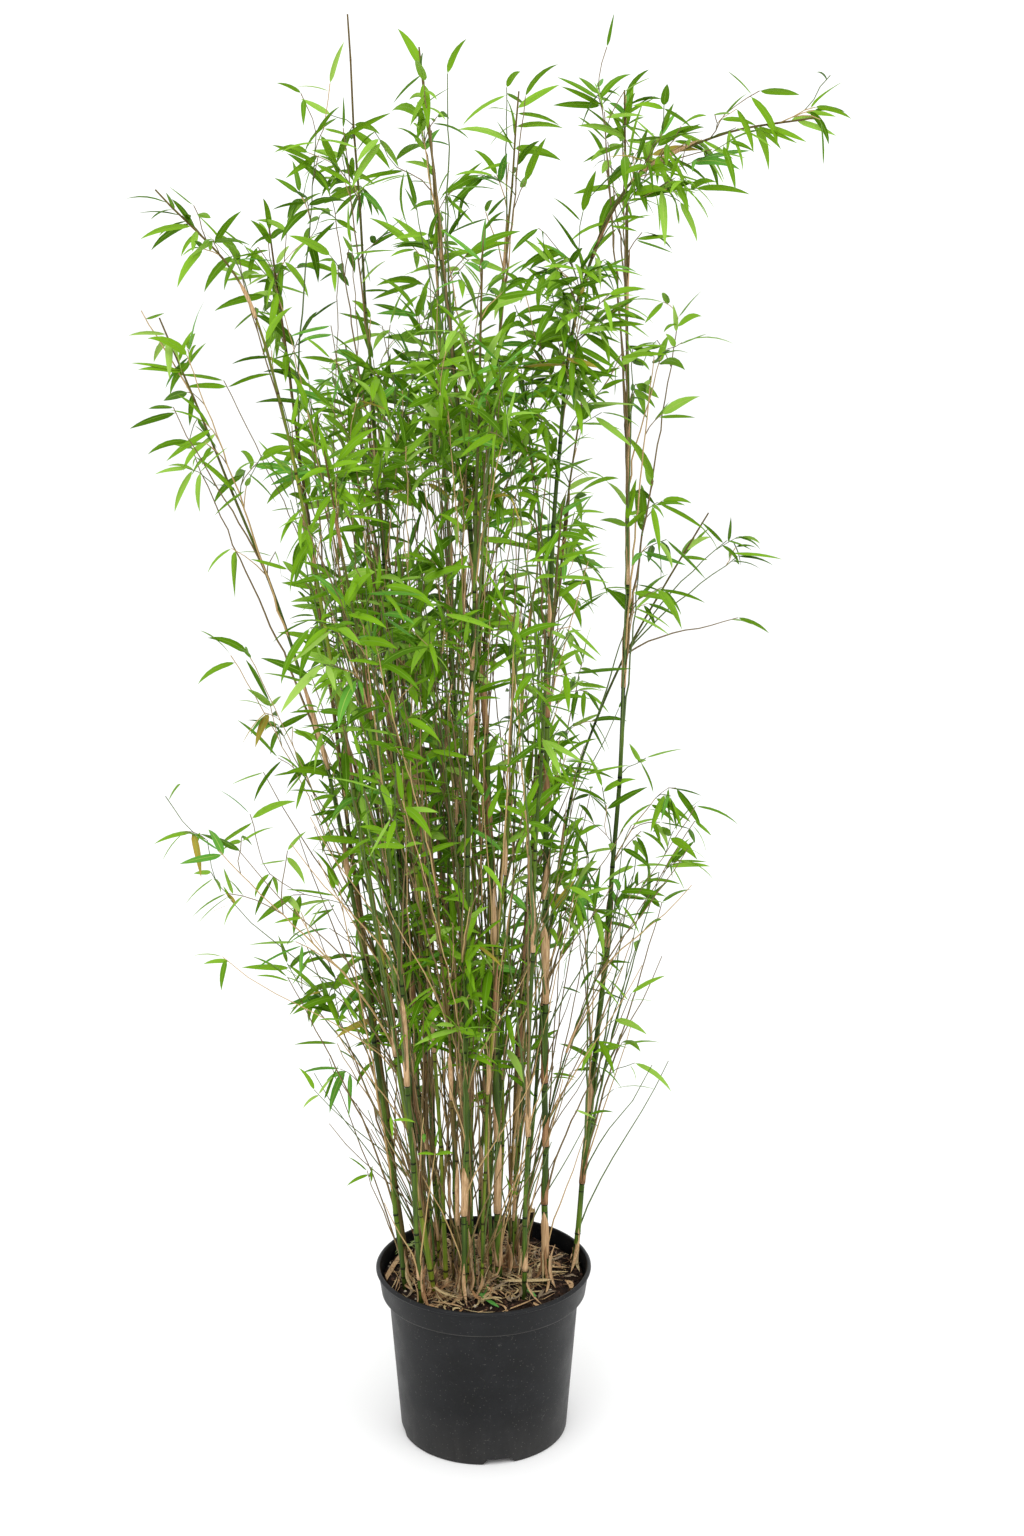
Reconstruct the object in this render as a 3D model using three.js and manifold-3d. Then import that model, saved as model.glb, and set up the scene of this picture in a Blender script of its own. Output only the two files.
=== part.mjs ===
// A clump-forming bamboo in a round nursery pot.
// Units are millimetres, +Z is up and the front of the plant faces -Y.
// The origin is the centre of the pot's flat underside.

import * as THREE from 'three';
import { mergeVertices } from 'three/addons/utils/BufferGeometryUtils.js';
import Module from 'manifold-3d';

const wasm = await Module();
wasm.setup();

// ---- driving dimensions ----

const POT_HEIGHT = 231;
const RIM_RADIUS = 140;
const BASE_RADIUS = 109;
const WALL = 2.5;
const BAND_HEIGHT = 36;          // the deep collar round the rim
const BAND_STEP = 9;             // how far the collar stands out from the body
const LIP_HEIGHT = 5;
const HEAD_SPACE = 15;           // from the soil up to the rim
const RIM_STEP = 3;              // how far the lip stands out over the collar
const COLLAR_DRAFT = 4;          // how much narrower the collar is at its foot
const FOOT_ROUND = 2;
const NOTCH_WIDTH = 43;          // at the foot; four drain notches
const NOTCH_TAPER = 6;           // narrower by this on each side at the top
const NOTCH_HEIGHT = 8;
const NOTCH_DEPTH = 16;
const NOTCH_TURN = 11;           // degrees, from the front towards the right
const GAP = 0.3;                 // between pieces that touch

const SOIL_TOP = POT_HEIGHT - HEAD_SPACE;
const CANE_FOOT = SOIL_TOP + GAP;
const CANE_SIDES = 6;
const CANE_TIP_RADIUS = 1.2;
const CANE_CLEARANCE = 0.7;      // room cut in a mass round a cane
const MASS_CLEARANCE = 0.6;      // room between two masses
const PLUME_RINGS = 5;
const PLUME_SIDES = 8;
const PLUME_SNAKE = 0.16;        // how far its middle wanders, as a share of its width
const PLUME_WAVES = [0.16, 0.12];  // its slow swells, as shares of its width
const PLUME_ROUGHNESS = 0.3;
const FIRST_SEED = 11;

// Culms. foot: where it leaves the soil, tip: its far end, radius: at the foot.
// lean and rise say how much of the way out and of the way up is behind it at its bend:
// equal values give a straight cane, a low lean with a high rise an arching one.
// split: a cane that arches over a wide gap is two pieces, which meet at this share of it.
const CANES = [
  { name: 'culm_tall_bare', foot: [-83, 26], tip: [-152, 20, 1783], lean: 0.4, rise: 0.5, radius: 3.6 },
  { name: 'culm_sheathed', foot: [20, -30], tip: [-66, -40, 1745], lean: 0.1, rise: 0.5, radius: 5 },
  { name: 'culm_red_brown', foot: [-98, -8], tip: [-252, 62, 1560], lean: 0.5, rise: 0.5, radius: 4 },
  { name: 'culm_arch_left', foot: [-62, -62], tip: [-352, -150, 1592], lean: 0.58, rise: 0.93, radius: 4 },
  { name: 'culm_left_outer', foot: [-100, -40], tip: [-366, -70, 1448], lean: 0.28, rise: 0.6, radius: 3.8 },
  { name: 'culm_back_tall', foot: [-20, 40], tip: [46, 120, 1700], lean: 0.2, rise: 0.6, radius: 4 },
  { name: 'culm_right_outer', foot: [118, 22], tip: [168, 40, 1700], lean: 1.35, rise: 0.5, radius: 4.2 },
  {
    name: 'culm_arch_right', foot: [80, -24], tip: [372, -100, 1668], lean: -0.02, rise: 0.97,
    radius: 4.8, split: 0.8,
  },
  { name: 'culm_right_reach', foot: [52, 58], tip: [285, 150, 1190], lean: 0.2, rise: 0.7, radius: 3 },
  { name: 'culm_back_left', foot: [-58, 62], tip: [-178, 262, 1390], lean: 0.35, rise: 0.6, radius: 4.2 },
  { name: 'culm_back_high', foot: [-22, 82], tip: [-62, 205, 1655], lean: 0.3, rise: 0.5, radius: 4 },
  { name: 'culm_back_right', foot: [38, 92], tip: [128, 285, 1330], lean: 0.35, rise: 0.6, radius: 3.8 },
  { name: 'culm_front_left', foot: [-78, -84], tip: [-168, -262, 1330], lean: 0.3, rise: 0.6, radius: 3.8 },
  { name: 'culm_front_right', foot: [52, -72], tip: [92, -255, 1260], lean: 0.3, rise: 0.65, radius: 3.6 },
  { name: 'culm_front_high', foot: [-24, -70], tip: [6, -170, 1545], lean: 0.3, rise: 0.5, radius: 4.2 },
  { name: 'culm_inner_front', foot: [-48, -34], tip: [-62, -58, 760], lean: 0.5, rise: 0.5, radius: 3.6 },
  { name: 'culm_inner_left', foot: [-70, -2], tip: [-104, 6, 760], lean: 0.5, rise: 0.5, radius: 3.4 },
  { name: 'culm_inner_middle', foot: [-34, 4], tip: [-44, 14, 760], lean: 0.5, rise: 0.5, radius: 3.8 },
];
const INNER = /^culm_inner/;     // these end where they enter the foliage
const STRAIGHT_STEPS = 6;
const ARCHED_STEPS = 10;
const SPLIT_STEPS = 15;          // in both pieces of a split cane together
const INNER_STEPS = 3;

// The dense heart of the crown: rings of upright masses, one ring above another.
const HEART = {
  bottom: 505, top: 1425, tiers: 4, around: 3,
  axisBottom: [-38, 0], axisTop: [-72, 5],
  ringBottom: 66, ringTop: 94, widthBottom: 58, widthTop: 92, fill: 0.97,
  stagger: 24, drawnIn: 0.92, spreadOut: 1.04,
};

// Plumes of foliage outside the heart: each runs from one end to the other.
const PLUMES = [
  { name: 'foliage_left_low', from: [-120, 10, 470], to: [-236, -10, 700], width: 42, depth: 44 },
  { name: 'foliage_left_low_reach', from: [-142, -46, 668], to: [-390, -112, 900], width: 54, depth: 38 },
  { name: 'foliage_left_middle', from: [-176, -36, 850], to: [-326, -48, 1110], width: 46, depth: 44 },
  { name: 'foliage_left_upper', from: [-228, -46, 1090], to: [-386, -74, 1480], width: 52, depth: 52 },
  { name: 'foliage_arch_left_tip', from: [-262, -136, 1450], to: [-384, -158, 1606], width: 38, depth: 34 },
  { name: 'foliage_red_brown_top', from: [-226, 48, 1330], to: [-262, 66, 1640], width: 52, depth: 52 },
  { name: 'foliage_tall_bare_top', from: [-138, 10, 1425], to: [-178, 30, 1722], width: 50, depth: 52 },
  { name: 'foliage_sheathed_top', from: [-48, -40, 1430], to: [-62, -40, 1752], width: 46, depth: 48 },
  { name: 'foliage_back_tall_top', from: [12, 88, 1425], to: [50, 122, 1722], width: 42, depth: 48 },
  { name: 'foliage_arch_right_low', from: [84, -48, 1300], to: [128, -58, 1575], width: 56, depth: 56 },
  { name: 'foliage_arch_right_high', from: [140, -66, 1560], to: [322, -96, 1684], width: 52, depth: 56 },
  { name: 'foliage_arch_right_tip', from: [326, -96, 1640], to: [408, -108, 1702], width: 30, depth: 28 },
  { name: 'foliage_right_outer_top', from: [172, 40, 1500], to: [162, 40, 1762], width: 42, depth: 46 },
  { name: 'foliage_right_upper', from: [186, 42, 1290], to: [258, 50, 1496], width: 50, depth: 44 },
  { name: 'foliage_right_middle', from: [182, 50, 1040], to: [214, 60, 1290], width: 44, depth: 48 },
  { name: 'foliage_right_reach', from: [230, 118, 1050], to: [356, 162, 1200], width: 48, depth: 44 },
  { name: 'foliage_right_inner_high', from: [102, 0, 960], to: [116, -8, 1300], width: 48, depth: 56 },
  { name: 'foliage_right_inner_low', from: [98, 0, 590], to: [116, 0, 960], width: 46, depth: 56 },
  { name: 'foliage_right_low', from: [166, 20, 640], to: [258, -20, 905], width: 54, depth: 50 },
  { name: 'foliage_right_low_sprig', from: [140, 10, 455], to: [218, -14, 600], width: 34, depth: 34 },
  { name: 'foliage_back_left', from: [-112, 150, 900], to: [-186, 268, 1420], width: 58, depth: 60 },
  { name: 'foliage_back_high', from: [-50, 170, 1360], to: [-64, 212, 1676], width: 50, depth: 52 },
  { name: 'foliage_back_right', from: [62, 164, 780], to: [132, 296, 1360], width: 60, depth: 60 },
  { name: 'foliage_back_reach', from: [-30, 112, 620], to: [-10, 330, 900], width: 52, depth: 48 },
  { name: 'foliage_front_left', from: [-108, -150, 800], to: [-172, -272, 1360], width: 56, depth: 58 },
  { name: 'foliage_front_right', from: [60, -132, 760], to: [96, -266, 1290], width: 54, depth: 58 },
  { name: 'foliage_front_high', from: [-6, -128, 1250], to: [8, -176, 1565], width: 50, depth: 50 },
];

// ---- colours ----

const POT_COLOUR = '#37393c';
const SOIL_COLOUR = '#2f251d';
const CANE_COLOURS = ['#3f5b2a', '#5c6f34', '#7a5a3c'];
const LEAF_COLOURS = ['#5f8d32', '#4f7d2b', '#72993e', '#3f6d28'];

// ---- helpers ----

// A seeded generator, so that every uneven mass comes out the same each time.
function randomFrom(seed) {
  let state = seed;
  return () => {
    state = (state * 1664525 + 1013904223) % 4294967296;
    return state / 4294967296;
  };
}

function closedGeometry(positions, faces) {
  const geometry = new THREE.BufferGeometry();
  geometry.setAttribute('position', new THREE.Float32BufferAttribute(positions, 3));
  geometry.setIndex(faces);
  return geometry;
}

// A closed skin over rings of points, with a single point at each end.
function skinOverRings(rings, start, end) {
  const points = [start, ...rings.flat(), end];
  const sides = rings[0].length;
  const faces = [];
  const at = (ring, k) => 1 + ring * sides + (k % sides);
  for (let k = 0; k < sides; k += 1) {
    faces.push(0, at(0, k + 1), at(0, k));
    for (let ring = 0; ring < rings.length - 1; ring += 1) {
      faces.push(at(ring, k), at(ring, k + 1), at(ring + 1, k + 1));
      faces.push(at(ring, k), at(ring + 1, k + 1), at(ring + 1, k));
    }
    faces.push(points.length - 1, at(rings.length - 1, k), at(rings.length - 1, k + 1));
  }
  return closedGeometry(points.flatMap((p) => p.toArray()), faces);
}

function solidOf(geometry) {
  const bare = geometry.clone();
  bare.deleteAttribute('normal');
  bare.deleteAttribute('uv');
  const merged = mergeVertices(bare, 1e-4);
  return new wasm.Manifold(new wasm.Mesh({
    numProp: 3,
    vertProperties: new Float32Array(merged.attributes.position.array),
    triVerts: new Uint32Array(merged.index.array),
  }));
}

function geometryOf(solid) {
  const mesh = solid.getMesh();
  return closedGeometry([...mesh.vertProperties], [...mesh.triVerts]);
}

// The one piece of a cut solid for which the score is highest.
function bestPiece(solid, score) {
  return solid.decompose().reduce((best, piece) => (score(piece) > score(best) ? piece : best));
}

// ---- culms ----

// The middle line of a culm: a curve that bends once, from foot to tip.
function caneCurve({ foot, tip, lean, rise }) {
  const start = new THREE.Vector3(foot[0], foot[1], CANE_FOOT);
  const end = new THREE.Vector3(...tip);
  const travel = end.clone().sub(start);
  const bend = start.clone().add(new THREE.Vector3(travel.x * lean, travel.y * lean, travel.z * rise));
  return new THREE.CubicBezierCurve3(start, bend, bend, end);
}

// A tapering limb along a stretch of a curve, thicker all round by extra.
// At the curve's foot the ring lies level, as a flat cut at the soil.
function limb(curve, radius, steps, { from = 0, to = 1, extra = 0 } = {}) {
  const rings = [];
  for (let i = 0; i <= steps; i += 1) {
    const along = THREE.MathUtils.lerp(from, to, i / steps);
    const centre = curve.getPointAt(along);
    const heading = curve.getTangentAt(along);
    const side = new THREE.Vector3(1, 0, 0).addScaledVector(heading, -heading.x).normalize();
    const back = heading.clone().cross(side);
    const thick = THREE.MathUtils.lerp(radius, CANE_TIP_RADIUS, along ** 1.3) + extra;
    const ring = [];
    for (let k = 0; k < CANE_SIDES; k += 1) {
      const turn = (2 * Math.PI * k) / CANE_SIDES;
      const out = side.clone().multiplyScalar(Math.cos(turn) * thick)
        .addScaledVector(back, Math.sin(turn) * thick);
      if (along === 0) out.z = 0;
      ring.push(centre.clone().add(out));
    }
    rings.push(ring);
  }
  return solidOf(skinOverRings(rings, curve.getPointAt(from), curve.getPointAt(to)));
}

// ---- foliage ----

// One uneven, closed mass of leaves: rings round a line, swollen and pinched by slow waves.
function plume({ from, to, width, depth }, seed) {
  const random = randomFrom(seed);
  const start = new THREE.Vector3(...from);
  const end = new THREE.Vector3(...to);
  const along = end.clone().sub(start).normalize();
  const across = new THREE.Vector3(1, 0, 0).addScaledVector(along, -along.x).normalize();
  const deep = along.clone().cross(across);
  const phase = [random(), random(), random()].map((value) => value * 2 * Math.PI);
  const layers = [];
  for (let i = 1; i <= PLUME_RINGS; i += 1) {
    const t = i / (PLUME_RINGS + 1);
    const swell = Math.sin(Math.PI * t ** 0.85) ** 0.55;
    const centre = start.clone().lerp(end, t);
    centre.addScaledVector(across, width * PLUME_SNAKE * Math.sin(5 * t + phase[0]));
    centre.addScaledVector(deep, depth * PLUME_SNAKE * Math.sin(6 * t + phase[1]));
    const layer = [];
    for (let k = 0; k < PLUME_SIDES; k += 1) {
      const turn = (2 * Math.PI * (k + (i % 2) / 2)) / PLUME_SIDES;
      const waves = PLUME_WAVES[0] * Math.sin(2 * turn + 4 * t + phase[1])
        + PLUME_WAVES[1] * Math.sin(3 * turn - 7 * t + phase[2]);
      const reach = swell * (1 + waves + PLUME_ROUGHNESS * (random() - 0.5));
      layer.push(centre.clone()
        .addScaledVector(across, width * reach * Math.cos(turn))
        .addScaledVector(deep, depth * reach * Math.sin(turn)));
    }
    layers.push(layer);
  }
  return solidOf(skinOverRings(layers, start, end));
}

// The heart's masses, staggered from tier to tier like bricks.
function heartMasses() {
  const masses = [];
  const height = (HEART.top - HEART.bottom) / HEART.tiers;
  const axis = (share, side) => THREE.MathUtils.lerp(HEART.axisBottom[side], HEART.axisTop[side], share);
  for (let tier = 0; tier < HEART.tiers; tier += 1) {
    const share = tier / (HEART.tiers - 1);
    const ring = THREE.MathUtils.lerp(HEART.ringBottom, HEART.ringTop, share);
    const width = THREE.MathUtils.lerp(HEART.widthBottom, HEART.widthTop, share);
    for (let k = 0; k < HEART.around; k += 1) {
      const turn = (2 * Math.PI * (k + tier / 2)) / HEART.around + Math.PI / 6;
      const x = axis(share, 0) + ring * Math.cos(turn);
      const y = axis(share, 1) + ring * Math.sin(turn);
      const low = HEART.bottom + height * tier + HEART.stagger * (k - 1);
      masses.push({
        name: `foliage_heart_${tier + 1}_${'abc'[k]}`,
        from: [x * HEART.drawnIn, y * HEART.drawnIn, low],
        to: [x * HEART.spreadOut, y * HEART.spreadOut, low + height * HEART.fill],
        width, depth: width,
      });
    }
  }
  return masses;
}

// ---- pot and soil ----

const shoulder = POT_HEIGHT - BAND_HEIGHT;
const bandFoot = RIM_RADIUS - RIM_STEP - COLLAR_DRAFT;
const bodyTop = bandFoot - BAND_STEP;
const bandInside = bandFoot + 1 - WALL;
const rimInside = RIM_RADIUS - RIM_STEP - WALL;
const LATHE_SIDES = 28;

function turned(outline) {
  const points = outline.map(([r, z]) => new THREE.Vector2(r, z));
  const geometry = new THREE.LatheGeometry(points, LATHE_SIDES);
  geometry.rotateX(Math.PI / 2);
  return solidOf(geometry);
}

// A moulded shell: base, tapering body, shoulder, collar and rolled lip.
function potSolid() {
  const shell = turned([
    [0, 0], [BASE_RADIUS - FOOT_ROUND, 0], [BASE_RADIUS, FOOT_ROUND],
    [bodyTop, shoulder], [bandFoot, shoulder],
    [RIM_RADIUS - RIM_STEP, POT_HEIGHT - LIP_HEIGHT], [RIM_RADIUS, POT_HEIGHT - LIP_HEIGHT + 1],
    [RIM_RADIUS, POT_HEIGHT - 1], [RIM_RADIUS - 1, POT_HEIGHT], [rimInside, POT_HEIGHT],
    [bandInside, shoulder + WALL], [bodyTop - WALL, shoulder + WALL - 1],
    [BASE_RADIUS - WALL, WALL], [0, WALL],
  ]);
  const low = NOTCH_WIDTH / 2;
  const high = low - NOTCH_TAPER;
  const outline = new THREE.Shape([
    new THREE.Vector2(-low, -1), new THREE.Vector2(low, -1),
    new THREE.Vector2(high, NOTCH_HEIGHT), new THREE.Vector2(-high, NOTCH_HEIGHT),
  ]);
  const cutter = new THREE.ExtrudeGeometry(outline, { depth: NOTCH_DEPTH, bevelEnabled: false });
  cutter.rotateX(Math.PI / 2);
  cutter.translate(0, -(BASE_RADIUS - NOTCH_DEPTH * 0.75), 0);
  let pot = shell;
  for (let k = 0; k < 4; k += 1) {
    const notch = cutter.clone().rotateZ(THREE.MathUtils.degToRad(NOTCH_TURN + 90 * k));
    pot = pot.subtract(solidOf(notch));
  }
  return pot;
}

function soilSolid() {
  const edge = SOIL_TOP - 4;
  return turned([
    [0, WALL + GAP], [BASE_RADIUS - WALL - GAP * 2, WALL + GAP],
    [bodyTop - WALL - GAP * 2, shoulder + WALL - 1], [bandInside - GAP * 2, shoulder + WALL + GAP],
    [bandInside - GAP * 2, edge], [RIM_RADIUS - 14, SOIL_TOP], [0, SOIL_TOP],
  ]);
}

// ---- assembly ----

const bamboo = new THREE.Group();

function place(name, solid, colour, roughness) {
  const material = new THREE.MeshStandardMaterial({ color: colour, roughness, metalness: 0 });
  const mesh = new THREE.Mesh(geometryOf(solid), material);
  mesh.name = name;
  bamboo.add(mesh);
}

place('pot', potSolid(), POT_COLOUR, 0.6);
place('soil', soilSolid(), SOIL_COLOUR, 1);

// The leaders run up through the foliage to the top of the crown.
const leaderRooms = CANES.filter((cane) => !INNER.test(cane.name)).map((cane, i) => {
  const curve = caneCurve(cane);
  const colour = CANE_COLOURS[i % CANE_COLOURS.length];
  const arched = cane.split ? SPLIT_STEPS : ARCHED_STEPS;
  const steps = cane.rise > 0.8 ? arched : STRAIGHT_STEPS;
  if (cane.split) {
    const lower = Math.round(steps * cane.split);
    const to = cane.split - GAP / curve.getLength();
    const top = limb(curve, cane.radius, steps - lower, { from: cane.split });
    place(cane.name, limb(curve, cane.radius, lower, { to }), colour, 0.5);
    place(`${cane.name}_top`, top, colour, 0.5);
  } else {
    place(cane.name, limb(curve, cane.radius, steps), colour, 0.5);
  }
  return limb(curve, cane.radius, steps, { extra: CANE_CLEARANCE });
});

// Each mass gives way to the culms that run up through it and to the masses before it.
const rooms = [];
[...PLUMES, ...heartMasses()].forEach((mass, i) => {
  const seed = FIRST_SEED + i;
  let solid = plume(mass, seed);
  for (const room of rooms) solid = solid.subtract(room);
  for (const room of leaderRooms) solid = solid.subtract(room);
  solid = bestPiece(solid, (piece) => piece.volume());
  const { width, depth } = mass;
  rooms.push(plume({ ...mass, width: width + MASS_CLEARANCE, depth: depth + MASS_CLEARANCE }, seed));
  place(mass.name, solid, LEAF_COLOURS[i % LEAF_COLOURS.length], 0.8);
});

CANES.filter((cane) => INNER.test(cane.name)).forEach((cane, i) => {
  let solid = limb(caneCurve(cane), cane.radius, INNER_STEPS);
  for (const room of rooms) solid = solid.subtract(room);
  solid = bestPiece(solid, (piece) => -piece.boundingBox().min[2]);
  place(cane.name, solid, CANE_COLOURS[i % CANE_COLOURS.length], 0.5);
});

export default bamboo;
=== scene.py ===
# A clump-forming bamboo in a round nursery pot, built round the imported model. Metres, +Z up.

import math

import bmesh
import bpy
import numpy as np
from mathutils import Matrix, Vector, noise
from mathutils.bvhtree import BVHTree


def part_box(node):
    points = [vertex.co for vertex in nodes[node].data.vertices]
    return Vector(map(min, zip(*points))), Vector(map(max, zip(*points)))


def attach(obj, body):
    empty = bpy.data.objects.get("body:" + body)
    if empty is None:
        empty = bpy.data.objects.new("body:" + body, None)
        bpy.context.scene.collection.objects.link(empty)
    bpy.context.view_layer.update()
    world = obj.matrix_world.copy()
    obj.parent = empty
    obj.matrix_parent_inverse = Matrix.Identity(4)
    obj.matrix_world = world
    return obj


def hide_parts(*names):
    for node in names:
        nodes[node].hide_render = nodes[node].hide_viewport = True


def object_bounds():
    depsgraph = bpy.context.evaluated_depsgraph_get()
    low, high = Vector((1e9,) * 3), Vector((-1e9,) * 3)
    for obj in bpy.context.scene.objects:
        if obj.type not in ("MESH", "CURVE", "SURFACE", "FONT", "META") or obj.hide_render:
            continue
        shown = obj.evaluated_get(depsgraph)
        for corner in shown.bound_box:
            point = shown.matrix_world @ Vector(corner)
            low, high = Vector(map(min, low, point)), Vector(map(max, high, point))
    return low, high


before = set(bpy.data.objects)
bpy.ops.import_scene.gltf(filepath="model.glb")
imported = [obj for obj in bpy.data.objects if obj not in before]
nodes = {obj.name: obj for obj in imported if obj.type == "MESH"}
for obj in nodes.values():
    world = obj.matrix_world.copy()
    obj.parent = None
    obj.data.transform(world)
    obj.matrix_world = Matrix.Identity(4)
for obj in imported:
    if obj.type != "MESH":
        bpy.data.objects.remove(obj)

cad_low, cad_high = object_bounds()
MM = 0.001


# ---- The pot ----
# A 10 litre nursery pot, injection moulded in charcoal polypropylene: a thin tapering wall,
# a deep collar with a rolled lip, and four drainage notches cut out of the foot.

def linear(hex_colour):
    """An sRGB hex colour as the linear numbers that shaders take."""
    channels = [int(hex_colour[i:i + 2], 16) / 255 for i in (1, 3, 5)]
    return (*[c / 12.92 if c <= 0.04045 else ((c + 0.055) / 1.055) ** 2.4 for c in channels], 1.0)


def feed(tree, made, sockets):
    """Fills sockets of a shader node. Each takes a value, a link, or the first output of a node."""
    for key, value in sockets.items():
        if isinstance(value, bpy.types.Node):
            value = value.outputs[0]
        if isinstance(value, bpy.types.NodeSocket):
            tree.links.new(value, made.inputs[key])
        else:
            made.inputs[key].default_value = value


def node(tree, kind, sockets=None, stops=(), **settings):
    """Adds a shader node with its settings and links. The stops are those of a colour ramp."""
    made = tree.nodes.new("ShaderNode" + kind)
    for key, value in settings.items():
        setattr(made, key, value)
    if stops:
        elements = made.color_ramp.elements
        while len(elements) < len(stops):
            elements.new(0.5)
        for element, (position, colour) in zip(elements, stops):
            element.position = position
            element.color = linear(colour) if isinstance(colour, str) else (colour, colour, colour, 1)
    feed(tree, made, sockets or {})
    return made


def finish_of(name, sockets):
    """A new material of one Principled shader, and its node tree."""
    material = bpy.data.materials.new(name)
    material.use_nodes = True
    tree = material.node_tree
    tree.nodes.clear()
    shader = node(tree, "BsdfPrincipled", sockets)
    node(tree, "OutputMaterial", {"Surface": shader})
    return material, tree, shader


def into_scene(data, name):
    """Puts a mesh, a lamp or a camera in the scene as an object at the origin."""
    made = bpy.data.objects.new(name, data)
    bpy.context.scene.collection.objects.link(made)
    return made


def mesh_from(bm, name, materials=()):
    """Turns a bmesh into a mesh with its materials."""
    mesh = bpy.data.meshes.new(name)
    bm.to_mesh(mesh)
    bm.free()
    for material in materials:
        mesh.materials.append(material)
    return mesh


def piece_from(bm, name, materials, smooth=True):
    """Turns a bmesh into a finished object that rides with the plant."""
    mesh = mesh_from(bm, name, materials)
    made = into_scene(mesh, name)
    mesh.polygons.foreach_set("use_smooth", [smooth] * len(mesh.polygons))
    mesh.update()
    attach(made, "root")
    return made


def spun(outline, steps):
    """A closed round shape, as a bmesh: an outline of (radius, height) points turned about the upright."""
    bm = bmesh.new()
    corners = [bm.verts.new((r, 0, z)) for r, z in outline]
    edges = [bm.edges.new(pair) for pair in zip(corners, corners[1:])]
    bmesh.ops.spin(bm, geom=corners + edges, cent=(0, 0, 0), axis=(0, 0, 1), angle=math.tau, steps=steps,
                   use_merge=True)
    bmesh.ops.remove_doubles(bm, verts=bm.verts[:], dist=MERGE)
    bmesh.ops.recalc_face_normals(bm, faces=bm.faces[:])
    return bm


def arc(cx, cz, radius, start, end, steps):
    """Points on an arc in the (radius, height) plane, angles in degrees."""
    turns = [math.radians(start + (end - start) * i / steps) for i in range(steps + 1)]
    return [(cx + radius * math.cos(t), cz + radius * math.sin(t)) for t in turns]


_, pot_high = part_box("pot")
MERGE = 1e-6      # points nearer than this are one point
TAPER, COLLAR_DEPTH, LIP_REACH, STEP_IN = 31 * MM, 36 * MM, 7 * MM, 9 * MM
FOOT_ROUND, COLLAR_ROUND, LIP_UNDER, LIP_OVER = 2.4 * MM, 1.2 * MM, 2.1 * MM, 2.0 * MM
NOTCH_WIDTH, NOTCH_TAPER, NOTCH_HEIGHT, NOTCH_TURN = 43 * MM, 6 * MM, 8 * MM, 11
NOTCHES = 4
POT_STEPS = 144
SHARP_ANGLE = 38
rim_radius, pot_height = pot_high.x, pot_high.z
base_radius = rim_radius - TAPER
wall = 2.5 * MM
collar_foot = pot_height - COLLAR_DEPTH
collar_radius = rim_radius - LIP_REACH
body_top = collar_radius - STEP_IN
collar_inside = collar_radius + 1 * MM - wall
rim_inside = rim_radius - 3 * MM - wall

outline = [(0.0, 0.0), (base_radius - 3 * MM, 0.0)]
outline += arc(base_radius - FOOT_ROUND, FOOT_ROUND, FOOT_ROUND, -80, -5, 4)
outline += [(base_radius + (body_top - base_radius) * s, collar_foot * s)
            for s in (0.05, 0.065, 0.25, 0.5, 0.75)]
outline += [(body_top - 0.1 * MM, collar_foot - 1.2 * MM), (body_top + 1.0 * MM, collar_foot - 0.1 * MM),
            (collar_radius - COLLAR_ROUND, collar_foot)]
outline += arc(collar_radius - COLLAR_ROUND, collar_foot + COLLAR_ROUND, COLLAR_ROUND, -70, 0, 3)
outline += [(rim_radius - 3 * MM, pot_height - 6.5 * MM)]
outline += arc(rim_radius - LIP_UNDER, pot_height - 3.4 * MM, LIP_UNDER, -75, 60, 6)
outline += arc(rim_radius - 3.4 * MM, pot_height - LIP_OVER, LIP_OVER, 50, 150, 5)
outline += [(rim_inside, pot_height - 3 * MM), (collar_inside + 0.6 * MM, collar_foot + 12 * MM),
            (collar_inside, collar_foot + wall), (body_top - wall, collar_foot + wall - 1 * MM),
            (base_radius - wall, wall), (0.0, wall)]
bm = spun(outline, POT_STEPS)

# Charcoal polypropylene: near black, dusty where it is handled, with fine scuffs, a moulded grain and a
# painted pale highlight along the collar's lower edge.
CLOUD_SIZE, STREAK_WIDTH, STREAK_LENGTH = 45 * MM, 17 * MM, 140 * MM
SMUDGE_SIZE, SPECK_SIZE = 9.5 * MM, 4.8 * MM
MOULD_GRAIN = 1.1 * MM      # the real grain is finer: this is as coarse as it needs to be to show
pot_plastic, tree, shader = finish_of("charcoal polypropylene", {
    "Roughness": 0.5, "IOR": 1.49, "Specular IOR Level": 0.2,
})
place = node(tree, "TexCoord").outputs["Object"]
cloud = node(tree, "TexNoise", {"Vector": place, "Scale": 1 / CLOUD_SIZE, "Detail": 6.0, "Roughness": 0.62})
streak_place = node(tree, "Mapping", {
    "Vector": place, "Scale": (1 / STREAK_WIDTH, 1 / STREAK_WIDTH, 1 / STREAK_LENGTH)})
streak = node(tree, "TexNoise", {"Vector": streak_place, "Scale": 1.0, "Detail": 4.0, "Distortion": 0.6})
smudge = node(tree, "TexNoise", {
    "Vector": place, "Scale": 1 / SMUDGE_SIZE, "Detail": 9.0, "Roughness": 0.75, "Distortion": 1.2})
scuff = node(tree, "ValToRGB", {"Fac": smudge}, stops=[(0.0, 0.0), (0.61, 0.0), (0.7, 0.6), (1.0, 0.8)])
speck = node(tree, "TexVoronoi", {"Vector": place, "Scale": 1 / SPECK_SIZE, "Randomness": 1.0})
speck_dot = node(tree, "ValToRGB", {"Fac": speck}, stops=[(0.0, 1.0), (0.1, 0.9), (0.16, 0.0)])
speck_some = node(tree, "Math", {0: speck_dot, 1: streak}, operation="MULTIPLY")
base_tone = node(tree, "ValToRGB", {"Fac": cloud},
                 stops=[(0.3, "#0c0d0e"), (0.52, "#121315"), (0.72, "#1b1c1e")])
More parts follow.
